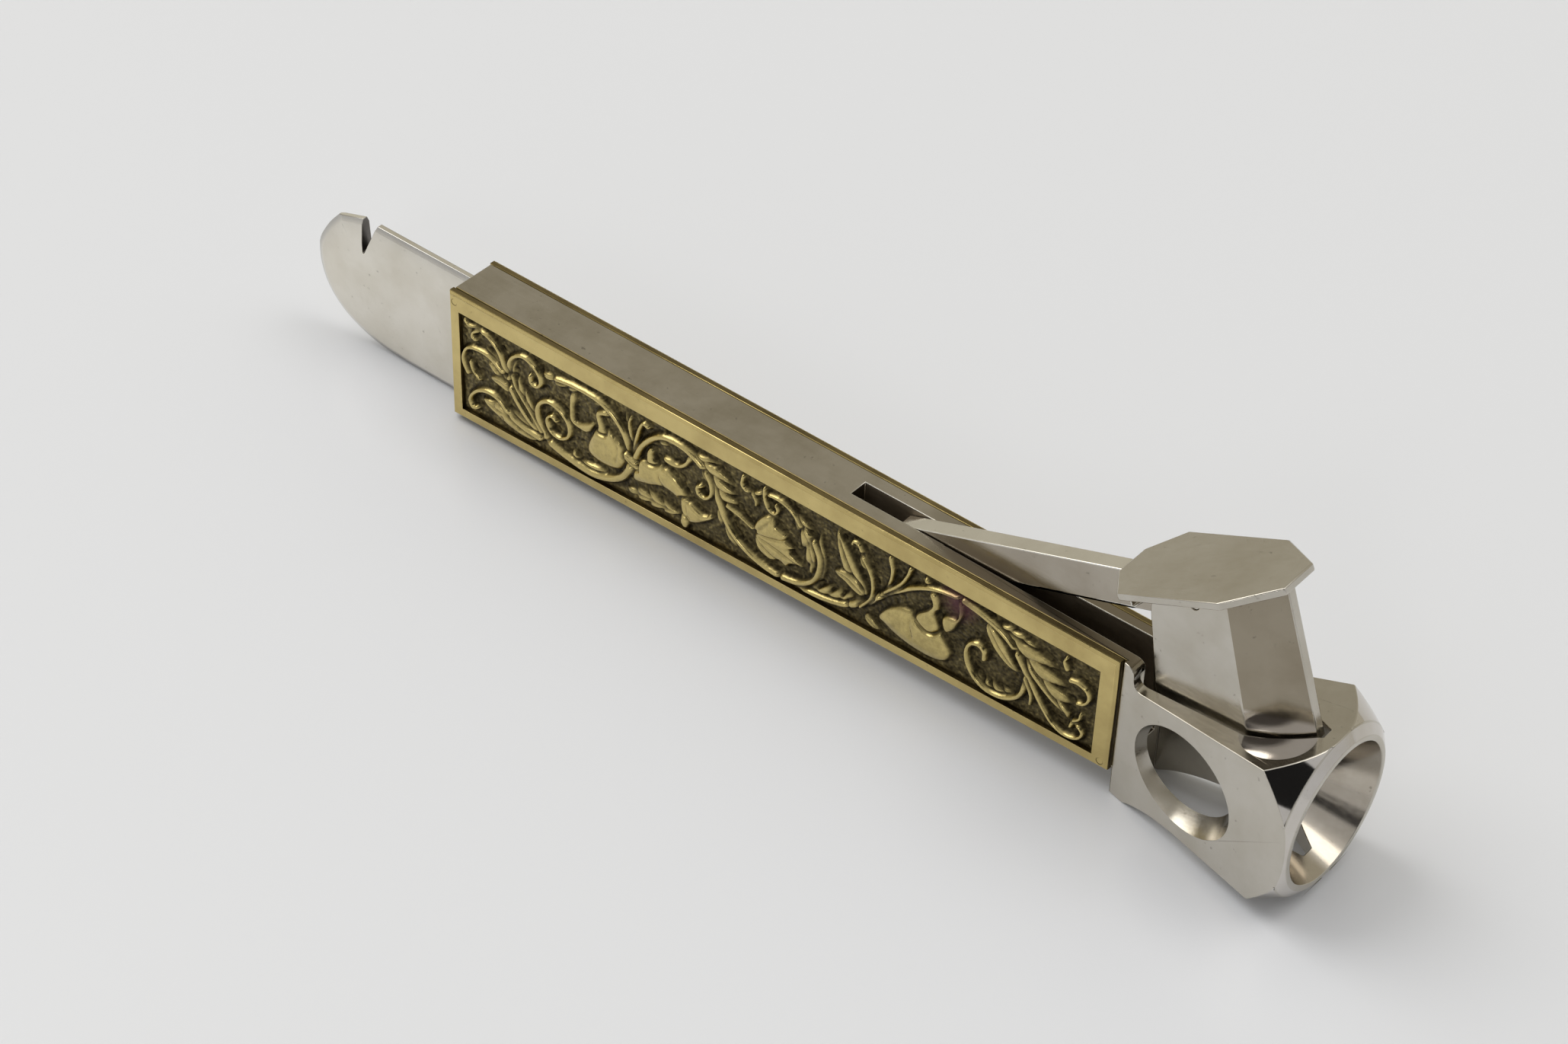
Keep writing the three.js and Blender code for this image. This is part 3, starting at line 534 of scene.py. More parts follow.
# Scrollwork, in millimetres (x, z) on the plate: start width, end width, height, then the run of the stem
STEMS = [
    (0.62, 0.5, 0.5, [(28.4, 8.6), (28.0, 7.2), (26.8, 5.4), (24.8, 4.2), (22.4, 3.6), (19.6, 3.8),
                      (17.0, 4.3), (14.6, 5.1), (12.4, 6.4), (10.8, 8.0), (9.8, 9.4)]),
    (0.5, 0.28, 0.5, [(15.2, 5.2), (14.2, 6.8), (13.9, 8.6), (14.6, 10.0), (15.9, 10.7), (17.4, 10.4),
                      (18.6, 9.4), (19.0, 8.1), (18.6, 6.9), (17.5, 6.2), (16.2, 6.4), (15.5, 7.3),
                      (15.5, 8.2), (16.2, 8.8), (16.9, 8.4)]),
    (0.42, 0.34, 0.48, [(9.4, 10.8), (9.4, 12.6), (10.1, 14.2), (11.6, 15.2), (13.1, 14.9), (14.2, 13.9),
                        (14.5, 12.7), (13.9, 11.9), (13.0, 12.1), (12.8, 12.9)]),
    (0.5, 0.22, 0.45, [(8.9, 11.6), (8.0, 13.8), (6.4, 15.2), (4.6, 15.5), (3.2, 15.4), (2.5, 15.9)]),
    (0.3, 0.3, 0.4, [(4.6, 15.2), (3.8, 14.6), (3.6, 13.9), (4.2, 13.7)]),
    (0.42, 0.26, 0.45, [(8.4, 11.2), (6.6, 12.3), (4.7, 12.5), (3.0, 12.0), (2.2, 10.8), (2.1, 9.5),
                        (2.8, 8.1)]),
    (0.28, 0.24, 0.4, [(3.2, 10.0), (3.6, 8.9), (4.6, 8.0)]),
    (0.5, 0.34, 0.48, [(14.2, 4.4), (11.6, 4.6), (9.4, 5.4), (7.8, 6.7), (6.3, 7.0), (4.7, 6.5),
                       (3.5, 5.4), (3.0, 4.3), (3.4, 3.4), (4.1, 3.6)]),
    (0.3, 0.22, 0.42, [(14.4, 5.4), (12.6, 7.6), (10.6, 9.8), (9.9, 11.4)]),
    (0.5, 0.4, 0.5, [(28.3, 9.2), (28.1, 10.6), (27.3, 12.4), (25.9, 13.9), (24.0, 14.9), (21.6, 15.2),
                     (19.2, 15.1), (17.0, 14.7)]),
    (0.26, 0.2, 0.42, [(28.5, 9.4), (28.6, 11.6), (28.1, 13.8), (28.3, 15.0)]),
    (0.4, 0.3, 0.46, [(28.7, 9.6), (29.2, 12.2), (29.7, 14.2), (30.3, 15.3), (31.0, 15.1)]),
    (0.5, 0.42, 0.5, [(28.9, 9.2), (29.9, 11.6), (31.4, 13.6), (33.2, 14.9), (35.2, 15.2), (37.3, 14.8),
                      (39.2, 13.7), (40.6, 12.0), (41.6, 10.2), (42.5, 8.3), (44.0, 6.5), (46.1, 5.2),
                      (48.6, 4.5), (51.2, 4.3), (54.0, 4.5), (57.0, 4.8), (60.0, 5.6), (62.5, 7.0)]),
    (0.32, 0.36, 0.46, [(39.6, 13.2), (40.4, 11.8), (40.4, 10.4), (39.6, 9.5), (38.6, 9.7), (38.4, 10.5),
                        (38.9, 10.9)]),
    (0.3, 0.3, 0.44, [(45.0, 15.7), (44.9, 14.5), (45.8, 14.0), (47.2, 14.5), (49.0, 15.2), (50.8, 15.2),
                      (52.3, 14.5), (53.4, 13.2)]),
    (0.24, 0.24, 0.46, [(48.1, 15.7), (48.2, 14.2), (48.8, 13.1), (49.7, 12.9), (50.1, 13.6),
                        (49.8, 14.2)]),
    (0.26, 0.2, 0.4, [(46.4, 14.0), (46.9, 13.2), (46.9, 12.5)]),
    (0.28, 0.2, 0.44, [(42.8, 10.2), (44.6, 9.8), (46.6, 9.0)]),
    (0.5, 0.4, 0.48, [(51.2, 4.4), (53.6, 5.0), (55.4, 6.4), (56.2, 8.4), (56.2, 10.2), (55.4, 12.0)]),
    (0.55, 0.3, 0.5, [(61.0, 6.2), (63.0, 7.6), (64.4, 9.2), (65.8, 10.7), (67.8, 12.4), (70.0, 14.0),
                      (72.6, 15.2), (75.6, 15.7)]),
    (0.3, 0.24, 0.46, [(62.2, 6.6), (63.6, 8.8), (63.7, 11.0), (63.1, 12.6), (62.2, 13.8)]),
    (0.3, 0.26, 0.46, [(62.0, 14.6), (61.6, 15.3), (60.9, 15.4), (60.7, 14.9)]),
    (0.26, 0.3, 0.45, [(65.0, 10.0), (66.0, 12.2), (66.3, 14.2), (65.9, 15.9)]),
    (0.3, 0.34, 0.45, [(65.4, 10.6), (67.4, 12.9), (68.4, 14.8), (68.7, 15.9)]),
    (0.42, 0.4, 0.5, [(76.0, 15.7), (78.6, 15.2), (81.0, 14.4), (83.1, 12.9), (84.4, 10.8), (84.6, 8.5),
                      (83.9, 6.6), (82.2, 5.4), (80.1, 5.1), (78.3, 5.8), (77.1, 7.3), (76.8, 9.0),
                      (77.3, 10.3), (78.3, 10.8), (79.1, 10.3), (79.2, 9.2)]),
    (0.42, 0.26, 0.48, [(83.4, 12.4), (85.4, 9.6), (87.1, 7.3), (88.6, 5.7), (90.3, 5.1), (91.9, 5.5),
                        (92.5, 6.5), (92.0, 7.2), (91.1, 7.2), (90.9, 6.6)]),
    (0.3, 0.24, 0.42, [(84.6, 9.6), (85.5, 7.8), (85.5, 6.4)]),
    (0.4, 0.28, 0.46, [(90.4, 13.0), (91.4, 13.2), (92.5, 12.8), (92.9, 11.8), (92.4, 10.8),
                       (91.5, 10.4)]),
    (0.3, 0.2, 0.42, [(91.2, 7.6), (91.9, 8.2), (92.0, 8.9)]),
    (0.34, 0.2, 0.45, [(89.8, 14.2), (89.4, 15.0), (89.6, 15.7)]),
    (0.3, 0.3, 0.56, [(27.5, 8.9), (28.4, 8.5), (29.3, 8.3)]),
    (0.3, 0.3, 0.56, [(27.6, 9.4), (28.4, 9.1), (29.2, 8.9)]),
]

# Leaves: width, height, lobes, side of the midrib (0 both, 1 left, -1 right), then the midrib to the tip
LEAVES = [
    (0.75, 0.42, 0, 0, [(9.6, 9.2), (7.8, 10.6), (5.9, 11.3)]),
    (0.6, 0.42, 0, 0, [(9.4, 10.0), (7.6, 12.0), (5.6, 13.5)]),
    (0.7, 0.4, 0, 0, [(9.7, 8.8), (8.0, 9.4), (6.2, 9.2)]),
    (0.62, 0.5, 0, 0, [(13.7, 5.6), (12.0, 8.4), (10.8, 11.7)]),
    (0.5, 0.48, 0, 0, [(13.9, 5.5), (13.1, 7.6), (11.8, 10.5)]),
    (0.45, 0.46, 0, 0, [(9.8, 11.2), (9.9, 12.8), (10.7, 14.2)]),
    (1.5, 0.44, 0, 0, [(14.2, 4.2), (10.4, 4.6), (5.0, 5.4)]),
    (0.5, 0.5, 0, 0, [(20.8, 3.9), (19.9, 4.4), (19.4, 5.5)]),
    (0.45, 0.48, 0, 0, [(19.0, 4.0), (18.2, 4.3), (17.8, 5.1)]),
    (0.7, 0.5, 0, 0, [(25.4, 4.3), (22.9, 4.4), (20.4, 4.4)]),
    (1.0, 0.45, 3, 0, [(21.4, 15.2), (18.2, 14.7), (14.6, 14.2)]),
    (0.5, 0.42, 0, 0, [(28.2, 10.6), (26.4, 13.6), (25.0, 15.3)]),
    (0.42, 0.42, 0, 0, [(28.3, 11.2), (28.2, 13.0), (27.4, 15.2)]),
    (1.1, 0.46, 3, -1, [(30.0, 12.0), (32.0, 14.2), (35.2, 15.0)]),
    (2.5, 0.5, 5, 1, [(37.0, 15.0), (40.2, 13.4), (42.0, 11.0), (43.6, 9.4)]),
    (1.7, 0.48, 3, -1, [(41.4, 10.8), (42.8, 8.0), (44.4, 6.3), (46.4, 5.2)]),
    (0.8, 0.5, 0, 0, [(38.9, 13.6), (40.2, 12.2), (40.3, 10.8)]),
    (1.35, 0.5, 4, 0, [(51.6, 15.0), (53.8, 13.0), (55.0, 10.2), (55.5, 6.6)]),
    (0.62, 0.5, 0, 0, [(55.9, 6.2), (56.5, 9.2), (56.1, 13.4)]),
    (1.75, 0.46, 5, 1, [(53.6, 4.6), (57.0, 5.1), (60.0, 6.0), (62.6, 7.6)]),
    (1.15, 0.48, 0, 0, [(63.0, 8.2), (60.6, 11.0), (58.5, 15.6)]),
    (0.9, 0.44, 0, 0, [(62.6, 8.4), (60.2, 9.6), (58.2, 9.6)]),
    (0.7, 0.5, 0, 0, [(63.1, 12.2), (62.3, 13.6), (62.2, 15.0)]),
    (0.85, 0.48, 0, 0, [(65.6, 10.8), (67.8, 12.8), (70.6, 13.9)]),
    (0.6, 0.4, 0, 0, [(62.8, 5.8), (63.8, 5.2), (65.0, 4.6)]),
    (1.0, 0.46, 0, 0, [(79.2, 14.4), (81.2, 11.8), (83.6, 9.8)]),
    (2.9, 0.5, 5, 1, [(80.2, 15.0), (84.4, 12.8), (87.4, 10.2), (90.4, 7.4)]),
    (0.8, 0.5, 0, -1, [(82.2, 13.8), (85.8, 11.2), (89.8, 7.8)]),
    (0.8, 0.46, 3, 1, [(80.4, 15.0), (82.8, 14.9), (85.6, 14.6)]),
    (1.5, 0.48, 4, -1, [(84.6, 6.6), (82.2, 5.4), (79.8, 5.2), (78.0, 6.4)]),
    (0.5, 0.46, 0, 0, [(91.6, 13.2), (90.6, 13.2), (90.0, 12.4)]),
    (1.05, 0.42, 4, 0, [(35.8, 4.8), (31.6, 4.7), (27.6, 4.3)]),
]

# Smooth bodies: height, edge roundness, then the outline
BODIES = [
    (0.52, 1.5, [(23.2, 11.0), (22.2, 9.2), (21.6, 7.2), (22.5, 6.2), (25.0, 6.0), (27.2, 6.8),
                 (27.6, 8.6), (26.9, 10.2), (25.4, 11.2), (24.4, 11.4)]),
    (0.5, 0.7, [(24.6, 10.6), (24.2, 11.8), (23.9, 12.8), (25.4, 13.5), (26.2, 14.2), (25.0, 14.2),
                (23.4, 13.6), (22.9, 12.8), (23.3, 11.4), (23.2, 10.4)]),
    (0.42, 0.6, [(22.6, 10.4), (22.6, 11.2), (21.0, 10.4), (19.8, 10.1), (19.7, 11.8), (20.0, 13.2),
                 (19.6, 14.4), (18.9, 13.4), (18.8, 11.2), (19.0, 9.6), (20.4, 9.1), (21.8, 9.2)]),
    (0.54, 1.5, [(28.6, 9.6), (31.0, 10.2), (33.2, 10.6), (35.0, 10.2), (36.4, 8.9), (37.0, 7.4),
                 (36.2, 6.6), (34.9, 7.4), (33.2, 7.5), (31.2, 6.7), (29.0, 6.2), (28.0, 7.4)]),
    (0.46, 0.5, [(31.0, 10.0), (30.7, 11.2), (31.0, 12.2), (31.8, 12.1), (31.8, 11.2), (32.4, 10.4)]),
    (0.46, 0.5, [(33.2, 12.1), (34.2, 12.4), (35.4, 12.3), (36.4, 13.2), (37.2, 15.0), (37.9, 14.9),
                 (37.4, 13.4), (36.4, 12.0), (35.0, 11.4), (33.6, 11.5)]),
    (0.55, 0.9, [(36.0, 7.6), (35.9, 6.6), (36.2, 5.4), (36.8, 4.6), (38.2, 4.9), (39.4, 5.7),
                 (40.6, 6.8), (40.4, 7.4), (39.4, 7.0), (38.2, 7.4), (37.0, 7.8)]),
    (0.45, 0.4, [(36.2, 5.4), (35.8, 4.4), (36.2, 3.6), (36.9, 3.4), (37.2, 4.6)]),
    (0.5, 0.8, [(46.6, 8.8), (47.0, 10.4), (48.2, 11.9), (49.4, 12.1), (50.0, 11.2), (51.4, 10.7),
                (51.5, 9.9), (52.6, 9.4), (52.1, 8.7), (53.9, 7.3), (52.4, 7.0), (51.6, 6.2), (50.6, 6.5),
                (49.2, 5.9), (47.4, 6.6), (46.9, 7.8)]),
    (0.55, 2.0, [(64.6, 6.7), (65.8, 8.6), (67.8, 9.9), (69.6, 10.2), (71.2, 10.4), (72.4, 10.2),
                 (73.8, 8.7), (74.7, 7.2), (74.2, 5.7), (72.6, 5.0), (70.0, 4.9), (67.6, 5.3),
                 (65.8, 6.0)]),
    (0.55, 0.8, [(69.6, 9.8), (71.2, 11.6), (71.8, 12.9), (70.9, 14.6), (70.5, 15.8), (71.4, 15.7),
                 (72.6, 14.0), (72.9, 12.6), (72.4, 11.4), (73.0, 9.6), (71.6, 8.6)]),
    (0.48, 0.6, [(73.3, 11.8), (74.4, 12.4), (75.2, 12.6), (75.3, 14.0), (75.1, 15.6), (75.9, 15.6),
                 (76.1, 13.6), (75.5, 12.0), (74.9, 10.6), (74.0, 9.8), (73.3, 10.6)]),
]

# Low swellings on the bodies: place, reach and height
BULGES = [
    (24.2, 8.0, 2.0, 0.1), (31.0, 8.6, 1.7, 0.08), (34.6, 8.9, 1.4, 0.08), (38.2, 6.2, 1.0, 0.06),
    (67.6, 7.4, 1.9, 0.06), (71.8, 7.6, 2.0, 0.1), (48.6, 9.0, 1.6, 0.06),
]

# Cut lines: width, depth, then the run of the line
CUTS = [
    (0.16, 0.16, [(46.8, 8.7), (48.2, 10.2), (49.2, 11.8)]),
    (0.16, 0.16, [(46.8, 8.7), (49.4, 9.3), (51.8, 10.0)]),
    (0.16, 0.16, [(46.8, 8.6), (50.0, 8.2), (53.4, 7.3)]),
    (0.16, 0.16, [(46.8, 8.4), (48.8, 7.2), (50.6, 6.4)]),
    (0.2, 0.14, [(33.4, 10.6), (32.7, 9.2), (33.4, 7.7)]),
    (0.18, 0.16, [(37.4, 7.9), (36.9, 7.1), (37.0, 6.2)]),
    (0.34, 0.14, [(69.6, 10.0), (69.1, 8.4), (69.5, 6.9)]),
    (0.2, 0.14, [(25.8, 10.9), (26.4, 9.2), (26.2, 7.6)]),
    (0.16, 0.14, [(58.9, 14.4), (60.6, 11.4), (62.4, 9.2)]),
]

# Eyes, nostrils and punched dots: place, radius and depth
DOTS = [
    (37.3, 5.5, 0.26, 0.22), (40.0, 7.0, 0.16, 0.12), (24.9, 13.7, 0.16, 0.12),
    (6.9, 5.5, 0.22, 0.2), (8.2, 4.3, 0.22, 0.2), (9.4, 5.4, 0.22, 0.2), (10.8, 4.0, 0.22, 0.2),
]

# Stand-ins for a gap not yet measured and for a length of nothing
FAR_OFF = 1e9
TINY = 1e-12


# A smooth run through the given points
def smooth_run(points, closed=False, steps=8):
    p = np.array(points, float)
    if closed:
        p = np.vstack([p[-1:], p, p[:2]])
    else:
        p = np.vstack([2 * p[:1] - p[1:2], p, 2 * p[-1:] - p[-2:-1]])
    t = np.linspace(0.0, 1.0, steps, endpoint=False)[:, None]
    out = []
    for a, b, c, d in zip(p[:-3], p[1:-2], p[2:-1], p[3:]):
        bend = 2 * a - 5 * b + 4 * c - d
        twist = 3 * b - a - 3 * c + d
        out.append(0.5 * (2 * b + (c - a) * t + bend * t ** 2 + twist * t ** 3))
    run = np.vstack(out)
    return run if closed else np.vstack([run, p[-2:-1]])


# Distance, side and share along a run, for each place (x, z)
def along_run(x, z, run):
    best = np.full(x.shape, FAR_OFF)
    side = np.zeros(x.shape)
    share = np.zeros(x.shape)
    lengths = np.hypot(*np.diff(run, axis=0).T)
    ends = np.concatenate([[0.0], np.cumsum(lengths)])
    for i, (a, b) in enumerate(zip(run[:-1], run[1:])):
        d = b - a
        n = max(lengths[i] ** 2, TINY)
        t = np.clip(((x - a[0]) * d[0] + (z - a[1]) * d[1]) / n, 0.0, 1.0)
        gap = np.hypot(x - a[0] - t * d[0], z - a[1] - t * d[1])
        near = gap < best
        best = np.where(near, gap, best)
        side = np.where(near, d[0] * (z - a[1]) - d[1] * (x - a[0]), side)
        share = np.where(near, (ends[i] + t * lengths[i]) / ends[-1], share)
    return best, np.sign(side), share


# Which places lie inside a closed ring
def inside(x, z, ring):
    odd = np.zeros(x.shape, bool)
    for a, b in zip(ring, np.roll(ring, -1, axis=0)):
        cross = (a[1] > z) != (b[1] > z)
        rise = b[1] - a[1] if abs(b[1] - a[1]) > TINY else TINY
        odd ^= cross & (x < (b[0] - a[0]) * (z - a[1]) / rise + a[0])
    return odd


# Each place takes half its own height and half its four neighbours', as often as asked
def blur(h, times):
    for _ in range(times):
        p = np.pad(h, 1, mode="edge")
        h = (p[:-2, 1:-1] + p[2:, 1:-1] + p[1:-1, :-2] + p[1:-1, 2:] + 4 * h) / 8
    return h


# The field's lower edge slopes, so the grid's rows are spread between that edge and the top
ACROSS = int((FIELD_X[1] - FIELD_X[0]) / GRID) + 1
UPWARD = int((FIELD_TOP - FIELD_LOW[0]) / GRID) + 1


def field_low(x):
    rise = (FIELD_LOW[1] - FIELD_LOW[0]) * (x - FIELD_X[0])
    return FIELD_LOW[0] + rise / (FIELD_X[1] - FIELD_X[0])


def field_grid():
    columns = np.linspace(*FIELD_X, ACROSS)
    x, t = np.meshgrid(columns, np.linspace(0.0, 1.0, UPWARD), indexing="ij")
    return x, field_low(x) + t * (FIELD_TOP - field_low(x))


# The columns of the grid that lie within reach of a run
def window(run, reach):
    first = (run[:, 0].min() - reach - FIELD_X[0]) / GRID
    last = (run[:, 0].max() + reach - FIELD_X[0]) / GRID + 2
    return slice(*np.clip((first, last), 0, ACROSS).astype(int))


# Measures of the forms, in millimetres or as shares
FORM_REACH = 1.0
GROOVE_DEPTH = 0.7
GROOVE_WIDTH = 0.26
BODY_RIM = 0.5
BODY_RIM_SHARE = 0.3
BODY_ROUND = 1.3
BODY_ROUND_SHARE = 0.7
BULGE_FULL = 0.4
LEAF_REACH = 1.3
LEAF_WIDEST = 0.75
LEAF_FULLNESS = 0.8
LEAF_STALK = 0.05
LEAF_ROUND = 2.2
LOBE_LEAN = 0.8
LOBE_NOTCH = 0.42
LOBE_SWELL = 0.58
LOBE_LOW = 0.68
LOBE_RISE = 0.32
PLAIN_SIDE_HALF = 0.16
VEIN_DEPTH = 0.42
VEIN_WIDTH = 0.14
CUT_FULL = 0.3


# A form lies over what is under it, with a groove cut round it
def lay(h, w, form, outside):
    h[w] = np.maximum(form, h[w] * (1 - GROOVE_DEPTH * np.exp(-((outside / GROOVE_WIDTH) ** 2))))


# The height of a quarter round at a depth from its edge
def rounded(depth):
    return np.sqrt(1 - (1 - np.clip(depth, 0.0, 1.0)) ** 2)


def lay_bodies(x, z, h):
    for height, round_edge, ring in BODIES:
        run = smooth_run(ring, closed=True, steps=5)
        w = window(run, FORM_REACH)
        gap, _, _ = along_run(x[w], z[w], np.vstack([run, run[:1]]))
        within = inside(x[w], z[w], run)
        rim = BODY_RIM_SHARE * rounded(gap / BODY_RIM)
        form = height * (rim + BODY_ROUND_SHARE * rounded(gap / (BODY_ROUND * round_edge)))
        lay(h, w, np.where(within, form, 0.0), np.where(within, 0.0, gap))
    for bx, bz, reach, rise in BULGES:
        swell = np.exp(-(((x - bx) ** 2 + (z - bz) ** 2) / reach ** 2))
        h += rise * np.clip(h / BULGE_FULL, 0.0, 1.0) * swell


def lay_leaves(x, z, h):
    for width, height, lobes, only, rib in LEAVES:
        run = smooth_run(rib)
        w = window(run, LEAF_REACH * width)
        gap, side, share = along_run(x[w], z[w], run)
        length = np.hypot(*np.diff(run, axis=0).T).sum()
        start = share - (LOBE_LEAN if lobes else 0.0) * gap / length
        bow = np.sin(np.pi * np.clip(start, 0.0, 1.0) ** LEAF_WIDEST) ** LEAF_FULLNESS
        half = width * (bow + LEAF_STALK)
        tooth = (lobes * start) % 1.0
        if lobes:
            swell = np.sin(0.5 * np.pi * np.clip(1.25 * tooth, 0.0, 1.0))
            half = half * (LOBE_NOTCH + LOBE_SWELL * swell)
        if only:
            half = np.where(side == only, half, PLAIN_SIDE_HALF)
        r = np.clip(gap / half, 0.0, 1.0)
        form = height * np.sqrt(1 - r ** LEAF_ROUND)
        form *= 1 - VEIN_DEPTH * np.exp(-((gap / VEIN_WIDTH) ** 2))
        if lobes:
            form *= LOBE_LOW + LOBE_RISE * np.sin(np.pi * np.clip(1.1 * tooth, 0.0, 1.0)) ** 0.6
        lay(h, w, np.where((r < 1) & (start > 0), form, 0.0), np.clip(gap - half, 0.0, None))


def lay_stems(x, z, h):
    for first, last, height, points in STEMS:
        run = smooth_run(points)
        w = window(run, FORM_REACH)
        gap, _, share = along_run(x[w], z[w], run)
        width = first + (last - first) * share
        r = np.clip(gap / width, 0.0, 1.0)
        lay(h, w, height * np.sqrt(1 - r ** 2), np.clip(gap - width, 0.0, None))


def cut_lines(x, z, h):
    for width, depth, points in CUTS:
        run = smooth_run(points)
        w = window(run, FORM_REACH)
        gap, _, _ = along_run(x[w], z[w], run)
        h[w] -= depth * np.clip(h[w] / CUT_FULL, 0.0, 1.0) * np.exp(-((gap / width) ** 2))
    for dx, dz, radius, depth in DOTS:
        h -= depth * np.exp(-(((x - dx) ** 2 + (z - dz) ** 2) / radius ** 2))


# The ground between the forms is punched all over and slightly uneven
GROUND_SEED = 7
GROUND_FADE = 0.1
PUNCHES = 170
PUNCH_SIZE = (0.2, 0.36)
PUNCH_DEPTH = 0.12
PUNCH_LIP = 0.05
LIP_PLACE = 1.5
LIP_SPREAD = 0.2
GROUND_UNEVEN = 0.06
GROUND_BLUR = 3
METAL_UNEVEN = 0.012
METAL_BLUR = 6


def punch_ground(x, z, h, ground, rng):
    for _ in range(PUNCHES):
        cx = rng.uniform(*FIELD_X)
        cz = rng.uniform(FIELD_LOW[0], FIELD_TOP)
        size = rng.uniform(*PUNCH_SIZE)
        far = ((x - cx) ** 2 + (z - cz) ** 2) / size ** 2
        lip = PUNCH_LIP * np.exp(-((np.sqrt(far) - LIP_PLACE) ** 2) / LIP_SPREAD)
        h += ground * (lip - PUNCH_DEPTH * np.exp(-far))
    h += GROUND_UNEVEN * ground * blur(rng.standard_normal(h.shape), GROUND_BLUR)
    h += METAL_UNEVEN * blur(rng.standard_normal(h.shape), METAL_BLUR)


# The brass is rubbed bright where it is high or proud, less by the rim and at the head end, and painted
# darker on slopes that face down, a painted shade under ledges
WEAR_GROUND = 0.31
WEAR_HIGH = 0.5
SHADE_UNDER = 0.25
WEAR_UNEVEN = 0.2
WEAR_PROUD = 0.9
WEAR_SUNK = 2.0
WEAR_RIM = 0.45
RIM_SPAN = 0.8
HIGH_FROM = 0.08
HIGH_SPAN = 0.34
PROUD_BLUR = 22
DULL_END = 0.08
DULL_FROM = 35
DULL_SPAN = 25


def rubbed_wear_and_shade(x, z, h, ground, edge, rng):
    rise = np.clip((h - HIGH_FROM) / HIGH_SPAN, 0.0, 1.0)
    over = h - blur(h, PROUD_BLUR)
    # Slopes that face down are painted darker: painted shade under the forms
    under = np.clip(np.gradient(h, axis=1) / np.gradient(z, axis=1), 0.0, 1.0)
    wear_and_shade = WEAR_GROUND - DULL_END * np.clip((x - DULL_FROM) / DULL_SPAN, 0.0, 1.0)
    wear_and_shade += WEAR_HIGH * rise * rise * (3 - 2 * rise)
    wear_and_shade += np.where(over > 0, WEAR_PROUD, WEAR_SUNK) * over - SHADE_UNDER * under
    wear_and_shade += WEAR_UNEVEN * ground * blur(rng.standard_normal(h.shape), GROUND_BLUR)
    return np.clip(wear_and_shade * np.clip(WEAR_RIM + edge / RIM_SPAN, 0.0, 1.0), 0.0, 1.0)


# The relief is softened, fades out at the field's edge, is lifted a little and kept between two heights
RELIEF_BLUR = 3
EDGE_FADE = 0.3
RELIEF_LIFT = 0.1
RELIEF_RANGE = (0.02, 1.0)


def relief_heights():
    x, z = field_grid()
    h = np.zeros(x.shape)
    lay_bodies(x, z, h)
    lay_leaves(x, z, h)
    lay_stems(x, z, h)
    cut_lines(x, z, h)
    rng = np.random.default_rng(GROUND_SEED)
    ground = np.exp(-((h / GROUND_FADE) ** 2))
    punch_ground(x, z, h, ground, rng)
    h = blur(h, RELIEF_BLUR)
    edge = np.minimum.reduce([x - FIELD_X[0], FIELD_X[1] - x, z - field_low(x), FIELD_TOP - z])
    h *= np.clip(edge / EDGE_FADE, 0.0, 1.0)
    wear_and_shade = rubbed_wear_and_shade(x, z, h, ground, edge, rng)
    return x, z, np.clip(RELIEF_SCALE * h + RELIEF_LIFT, *RELIEF_RANGE), wear_and_shade


# One plate's relief as a closed piece: the heights, walls round the rim and a flat back
def relief_piece(name, side, x, z, h, wear_and_shade):
    nx, nz = x.shape
    top = np.stack([(x + PART_X) * MM, side * (GROUND_Y + h) * MM, z * MM], -1).reshape(-1, 3)
    back = np.stack([(x + PART_X) * MM, np.full_like(h, side * (GROUND_Y - BACK_DEPTH) * MM), z * MM], -1)
    rim = [(i, 0) for i in range(nx)] + [(nx - 1, j) for j in range(1, nz)]
    rim += [(i, nz - 1) for i in range(nx - 2, -1, -1)] + [(0, j) for j in range(nz - 2, 0, -1)]
    rim_ids = [i * nz + j for i, j in rim]
    floor_ids = list(range(nx * nz, nx * nz + len(rim)))
    verts = np.vstack([top, np.array([back[i, j] for i, j in rim])])
    ids = np.arange(nx * nz).reshape(nx, nz)
    quads = np.stack([ids[:-1, :-1], ids[1:, :-1], ids[1:, 1:], ids[:-1, 1:]], -1).reshape(-1, 4).tolist()
    walls = []
    for k in range(len(rim)):
        n = (k + 1) % len(rim)
        walls.append([rim_ids[n], rim_ids[k], floor_ids[k], floor_ids[n]])
    faces = quads + walls + [floor_ids[::-1]]
    if side > 0:
        faces = [face[::-1] for face in faces]
    mesh = bpy.data.meshes.new(name)
    mesh.from_pydata(verts.tolist(), [], faces)
    mesh.update()
    layer = mesh.attributes.new("wear_and_shade", "FLOAT", "POINT")
    values = np.concatenate([wear_and_shade.ravel(), np.zeros(len(rim))])
    layer.data.foreach_set("value", values.astype(np.float32))
    smooth = np.zeros(len(mesh.polygons), bool)
    smooth[:len(quads)] = True
    mesh.polygons.foreach_set("use_smooth", smooth)
    mesh.materials.append(RELIEF)
    piece = bpy.data.objects.new(name, mesh)
    scene.collection.objects.link(piece)
    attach(piece, "frame")


heights = relief_heights()
relief_piece("front_relief", -1, *heights)
relief_piece("rear_relief", 1, *heights)

# Floor
FLOOR_SIZE = 6.0
FLOOR_COLOUR = (0.782, 0.796, 0.83, 1.0)
FLOOR_ROUGHNESS = 0.3
bpy.ops.mesh.primitive_plane_add(size=FLOOR_SIZE, location=(0.0, 0.0, 0.0))
floor = bpy.context.object
floor.name = "floor"
material, tree, shader = new_material("pale table")
shader.inputs["Base Color"].default_value = FLOOR_COLOUR
shader.inputs["Roughness"].default_value = FLOOR_ROUGHNESS
floor.data.materials.append(material)

# World: a pale room, warmer behind, with dark patches and a bright one in front
world = bpy.data.worlds.new("soft room")
scene.world = world
world.use_nodes = True
tree = world.node_tree
link = tree.links.new
gaze = tree.nodes.new("ShaderNodeTexCoord").outputs["Generated"]


